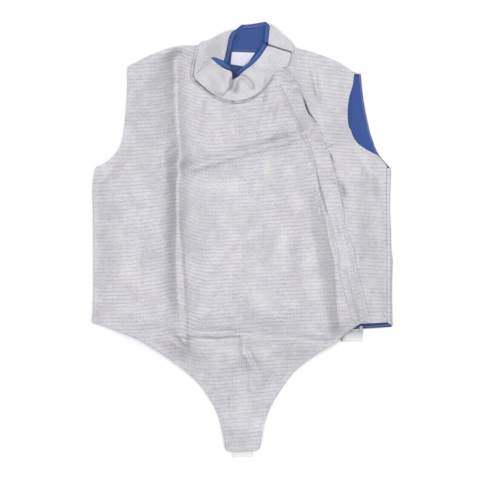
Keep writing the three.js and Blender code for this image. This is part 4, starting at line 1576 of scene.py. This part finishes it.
@dataclass
class Collar:
    """The stand collar, which lies flat: back and lining beneath, side, front and return above.

    Attributes:
        tape: width of the bindings, in millimetres.
    """

    tape: float = 6.5

    def backing(self, wardrobe: Wardrobe) -> None:
        """Builds the back collar and its lining."""
        for name, node, slot, cloth, z, wall, inset in (
            ("back_collar_cloth", "back_collar", Slot.SILVER, wardrobe.collar_silver, 0.1, SHELL, 0.0),
            ("collar_lining_cloth", "collar_lining", Slot.LINING, wardrobe.lining, LINING_Z, LINING, 0.8),
        ):
            panel = Panel(
                name, bottom=shifted(NECK_BACK, 0, SEAM),
                top=Edge(
                    (0.3, [(-73.5, 341), (-58, 346 - inset), (-42, 354.5 - inset), (-14, 364.5 - inset)]),
                    (0.1, [(-14, 364.5 - inset), (-7, 370.3 - inset), (-1, 375.4 - inset)]),
                    (0.3, [(-1, 375.4 - inset), (15, 376.3 - inset), (42, 380.8 - inset)]),
                    (0.3, [(42, 380.8 - inset), (48.5, 374.5 - inset), (69, 357.5 - inset), (91, 337.5)]),
                ),
                left=[(-75, 339.5), (-73.5, 341)], right=[(92, 334.9), (91, 337.5)],
                columns=90, rows=30, wall=wall, thickness=wall * 0.7, under=level(z), crowd=0.1)
            piece = panel.make(cloth, cloth)
            ride(piece, slot, node)
            panel.cut()

    def label_bed(self, x: Array, y: Array) -> Array:
        """Underside of the label, whose loose lower end curls a little."""
        return FRONT_Z + 0.5 * smooth((327 - y) / 26) * (0.6 + 0.4 * np.sin(x / 9))

    def label(self, wardrobe: Wardrobe) -> None:
        """Builds the label at the neck."""
        label = Panel(
            "label_ribbon", bottom=[(-20, 306), (7, 301)], top=[(-18, 327.5), (23, 326)],
            left=[(-20, 306), (-18, 327.5)], right=[(7, 301), (23, 326)],
            columns=24, rows=18, wall=0.6, thickness=0.35, crowd=0.0, under=self.label_bed)
        ribbon = label.make(wardrobe.label, wardrobe.label)
        ride(ribbon, Slot.LABEL, "neck_label")
        label.cut()

    def layers(self, wardrobe: Wardrobe) -> None:
        """Builds the side, the front and the return."""
        side = Panel(
            "collar_side_cloth", left=[(-84.5, 285), (-81.7, 309), (-77.7, 325), (-73.5, 341)],
            right=[(-34, 303), (-27.5, 328), (-23.4, 349), (-19.4, 358.5), (-14, 365)],
            bottom=[(-84.5, 285), (-70, 287), (-50, 294), (-34, 303)],
            top=[(-73.5, 341), (-70.5, 345), (-60, 346.5), (-50, 351), (-42, 355), (-25, 362.5), (-14, 365)],
            columns=60, rows=70, wall=FRONT - 0.1, under=DRAPE.collar_side, grain=Grain.COLLAR, crowd=0.3)
        front = Panel(
            "front_collar_cloth",
            bottom=Edge((0.86, shifted(NECK_FRONT[:-1], 0, SEAM_STANDOFF)),
                        (0.14, [(59.5, 293.5), (68, 298.5), (79, 301.5)])),
            top=Edge(
                (0.28, [(-54, 315.5), (-37, 300.8), (-19.4, 292.4)]),
                (0.12, [(-19.4, 292.4), (-17.4, 288), (-17, 277.5)]),
                (0.42, [(-17, 277.5), (-6, 284), (-0.7, 289), (7.4, 296), (18, 304), (28.7, 314.7),
                        (34, 321.5), (44.5, 337.2)]),
                (0.18, [(44.5, 337.2), (66, 330.6), (84.5, 325.2)]),
            ),
            left=[(-85, 287.5), (-74.5, 292), (-67.5, 305), (-60, 314), (-54, 315.5)],
            right=[(79, 301.5), (82, 310), (85.5, 320), (84.5, 325.2)],
            columns=220, rows=66, under=DRAPE.front_collar, grain=Grain.COLLAR, crowd=0.15)
        back = Panel(
            "collar_return_cloth", left=[(52, 322), (46, 341), (46.5, 352), (48.8, 374)],
            right=[(85, 318), (91, 337), (70, 357.5), (50.5, 375)],
            bottom=[(52, 322), (70, 318), (85, 318)], top=[(48.8, 374), (50.5, 375)],
            columns=44, rows=90, under=DRAPE.collar_return, grain=Grain.COLLAR, crowd=0.2)
        for panel, node, below in (
            (side, "collar_side", "collar_lining_cloth"),
            (front, "front_collar", "collar_side_cloth"),
            (back, "collar_return", "collar_lining_cloth"),
        ):
            piece = panel.make(wardrobe.collar_silver, wardrobe.lining)
            ride(piece, Slot.SILVER, node)
            panel.cut()
        stitches = Stitching("collar_stitches", pitch=3.1, length=2.6, gauge=1.3)
        stitches.run([(-4.8, 284.6), (0.4, 289.2), (8.2, 295.8), (18.8, 303.5), (29.2, 313.8),
                      (34.8, 320.8), (45.2, 335.6)], front.height)
        stitches.run([(50, 334.8), (66, 329.6), (81.5, 324.5), (82.4, 320), (79, 309)], front.height)
        stitches.run([(-52, 311.5), (-36.5, 298.6), (-21, 290.6)], front.height)
        sewn = stitches.make(wardrobe.white_thread)
        ride(sewn, Slot.SILVER)
        grey = Stitching("collar_side_stitches", pitch=2.8, length=2.2, gauge=0.6)
        grey.run([(-33, 316), (-29.5, 328), (-25.4, 348.5), (-21.4, 358), (-16, 363.6)], side.height)
        ride(grey.make(wardrobe.dark_thread_and_shadow_line), Slot.SILVER)

    def on_collar(self, lift: float) -> Surface:
        """A surface that lies so much above the front's underside and rises with the collar."""
        return lambda x, y: FRONT_Z + lift + DRAPE.collar(x, y)

    def bindings(self, wardrobe: Wardrobe) -> None:
        """Builds the blue tapes along the free edges, with their stitches."""
        low, high, flat = self.on_collar(0.3), self.on_collar(LAYER + 0.2), level(FRONT_Z)
        runs = (
            ("side", [(-13.2, 365.2), (-18.6, 358.4), (-22.6, 349), (-26.7, 328), (-32.4, 309.5)], low),
            ("front", [(-5.6, 284.8), (-0.4, 289.8), (6.9, 296.6), (17.5, 304.6), (28.1, 315.3),
                       (33.4, 322), (43.8, 337.6)], high),
            ("return", [(45.6, 343), (45.9, 352), (48.2, 373.4)], low),
            ("top", [(41.5, 380.2), (15.4, 375.7), (2, 374.8)], flat),
        )
        stitches = Stitching("binding_stitches", pitch=2.6, length=1.9, gauge=0.5)
        for word, rows, under in runs:
            tape = strip_panel(f"binding_{word}_tape", rows, self.tape, under, BINDING)
            ride(tape.make(wardrobe.binding, wardrobe.binding), Slot.BINDING, f"binding_{word}")
            stitches.run(inward(rows, self.tape - 1.3), tape.height)
        flap = Panel(
            "binding_flap_tape", bottom=[(-53.4, 316.2), (-36.6, 301.6), (-19, 293.2)],
            top=[(-52.8, 317.2), (-46.2, 316.6), (-39.5, 314), (-32.7, 311.2), (-19.4, 299.5)],
            left=[(-53.4, 316.2), (-52.8, 317.2)], right=[(-19, 293.2), (-19.4, 299.5)],
            columns=40, rows=10, under=high, wall=BINDING, thickness=0.7, crowd=0.0)
        ride(flap.make(wardrobe.binding, wardrobe.binding), Slot.BINDING, "binding_flap")
        stitches.run([(-47.5, 314.4), (-40, 309.6), (-31.5, 304.6), (-23, 297.8)], flap.height)
        ride(stitches.make(wardrobe.blue_thread), Slot.ELASTIC)
        plain = Stitching("lining_seam_stitches", pitch=2.6, length=2.3, gauge=0.8)
        plain.run([(0, 369.8), (15.4, 371.6), (39.5, 374.2)], level(FRONT_Z + BINDING))
        plain.run([(-17, 331.6), (4, 330.6), (26, 330.2)], level(LINING_Z + LINING))
        ride(plain.make(wardrobe.grey_thread), Slot.ELASTIC)

    def make(self, wardrobe: Wardrobe) -> None:
        """Builds the whole collar."""
        self.backing(wardrobe)
        self.label(wardrobe)
        self.layers(wardrobe)
        self.bindings(wardrobe)


@dataclass
class Elastics:
    """White straps: one folded at the tongue's tip, one at the right hem with its tab.

    Attributes:
        flats: faces along each flat half of a strap.
        bends: faces round its fold.
        widths: faces across it.
    """

    flats: int = 6
    bends: int = 12
    widths: int = 16

    def folded(
        self, name: str, start: float, fold: float, low: float, high: float, upright: bool
    ) -> bpy.types.Object:
        """A flat strap folded back on itself.

        Args:
            name: the piece's name.
            start: where its open ends lie, along its length.
            fold: where it folds.
            low: one side of its width.
            high: the other side.
            upright: True if its length runs along Y, False along X.

        Returns:
            The object, without its material.
        """
        thick = ELASTIC * 0.9
        radius = (thick + SEAM + 0.2) / 2
        base = thick / 2 + 0.03
        sense = 1 if fold > start else -1
        bend = fold - sense * (radius + thick / 2)
        middle = [(start + (bend - start) * i / self.flats, base) for i in range(self.flats + 1)]
        for i in range(1, self.bends):
            turn = math.pi * i / self.bends
            middle.append((bend + sense * radius * math.sin(turn), base + radius * (1 - math.cos(turn))))
        top = base + 2 * radius
        middle += [(bend + (start - bend) * i / self.flats, top) for i in range(self.flats + 1)]
        last = len(middle) - 1
        mesh = grid(name, last, self.widths)
        spots = spots_of(mesh)
        step = np.clip(np.rint((spots[:, 0] + 0.5) * last).astype(int), 0, last)
        way = np.array(middle)[step]
        across = low + (spots[:, 1] + 0.5) * (high - low)
        x, y = (across, way[:, 0]) if upright else (way[:, 0], across)
        move_to(mesh, x, y, way[:, 1])
        run = np.concatenate([[0], np.cumsum(np.hypot(*np.diff(np.array(middle), axis=0).T))])[step]
        paint_weave(mesh, Grain.STRAIGHT, run, across)
        # Painted shadow: the strap is greyed where it runs under the hem
        mesh.attributes["deep"].data.foreach_set("value", patched(PAINTED_SHADE, x, y))
        mesh.shade_smooth()
        piece = put(name, mesh)
        wall = piece.modifiers.new("webbing", "SOLIDIFY")
        wall.thickness = thick * MM
        wall.offset = 0
        return piece

    def make(self, wardrobe: Wardrobe) -> None:
        """Builds the two straps and the tab."""
        tongue = self.folded("tongue_strap", -339, -380.8, -18, 19, upright=True)
        hem = self.folded("hem_strap", 173, 211.8, -178.5, -160, upright=False)
        for piece, node in ((tongue, "tongue_elastic"), (hem, "hem_elastic")):
            piece.data.materials.append(wardrobe.elastic)
            ride(piece, Slot.ELASTIC, node)
        tab = Panel(
            "hem_tab_strap", bottom=[(205.5, -161.8), (210.5, -161.8)],
            top=[(205.5, -151.4), (210.5, -151.4)],
            left=[(205.5, -161.8), (205.5, -151.4)], right=[(210.5, -161.8), (210.5, -151.4)],
            columns=8, rows=14, wall=BINDING, thickness=0.6, crowd=0.0, under=level(FRONT_Z))
        strap = tab.make(wardrobe.elastic, wardrobe.elastic)
        ride(strap, Slot.ELASTIC, "hem_tab")


@dataclass
class Studio:
    """A plain pale floor, soft light from above and a camera straight over the garment.

    Attributes:
        distance: the camera's height in metres.
        sensor: width of its sensor in millimetres.
        ceiling: light of the room overhead.
        walls: light of its pale walls, near the horizon.
        walls_top: sines of the angles between which one turns into the other.
    """

    distance: float = 2.6
    sensor: float = 36.0
    ceiling: float = 0.42
    walls: float = 0.95
    walls_top: tuple[float, float] = (0.36, 0.52)

    def floor(self, board: bpy.types.Material) -> None:
        """Lays the floor, which the garment lies on."""
        mesh = grid("floor", 1, 1, 6.0)
        mesh.materials.append(board)
        floor = put("floor", mesh)
        floor.location.z = -0.0002

    def lights(self) -> None:
        """Hangs a large soft light overhead and two weak ones at the sides."""
        for name, spot, size, power in (
            ("overhead", (0.04, 0.08, 2.5), 3.1, 51.0),
            ("right", (1.4, 1.7, 1.2), 0.9, 10.0),
            ("left", (-2.0, -0.4, 1.2), 1.0, 3.0),
        ):
            lamp = bpy.data.lights.new(name, "AREA")
            lamp.size = size
            lamp.energy = power
            light = put(name, lamp)
            light.location = spot
            light.rotation_euler = (-Vector(spot)).to_track_quat("-Z", "Y").to_euler()

    def room(self) -> None:
        """Sets the light of the room round the floor: pale walls under a darker ceiling."""
        world = bpy.data.worlds.new("studio")
        world.use_nodes = True
        nodes = world.node_tree.nodes
        links = world.node_tree.links
        nodes["Background"].inputs[0].default_value = (1, 1, 1, 1)
        split = nodes.new("ShaderNodeSeparateXYZ")
        walls = nodes.new("ShaderNodeMapRange")
        links.new(nodes.new("ShaderNodeTexCoord").outputs["Generated"], split.inputs[0])
        links.new(split.outputs[2], walls.inputs["Value"])
        low, high = self.walls_top
        ranges = {"From Min": low, "From Max": high, "To Min": self.walls, "To Max": self.ceiling}
        for socket, value in ranges.items():
            walls.inputs[socket].default_value = value
        links.new(walls.outputs[0], nodes["Background"].inputs[1])
        scene = bpy.context.scene
        scene.world = world
        scene.view_settings.view_transform = "Standard"
        scene.view_settings.look = "None"

    def camera(self) -> None:
        """Hangs the camera straight over the garment, as in the photograph."""
        lens = bpy.data.cameras.new("over")
        lens.sensor_width = self.sensor
        lens.lens = self.sensor * self.distance / (FRAME_PIXELS * PIXEL * MM)
        camera = put("over", lens)
        camera.location = (FRAME_CENTRE[0] * MM, FRAME_CENTRE[1] * MM, self.distance)
        camera.rotation_euler = Euler((0, 0, 0))
        bpy.context.scene.camera = camera

    def make(self, wardrobe: Wardrobe) -> None:
        """Builds the floor, lights, room and camera."""
        self.floor(wardrobe.board)
        self.lights()
        self.room()
        self.camera()


def main() -> None:
    """Builds the garment from the floor up, then the studio round it."""
    logging.basicConfig(level=logging.INFO, format="%(message)s")
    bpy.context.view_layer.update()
    wardrobe = Wardrobe()
    Back().make(wardrobe)
    Front().make(wardrobe)
    Fly().make(wardrobe)
    Collar().make(wardrobe)
    Elastics().make(wardrobe)
    Studio().make(wardrobe)


if __name__ == "__main__":
    main()
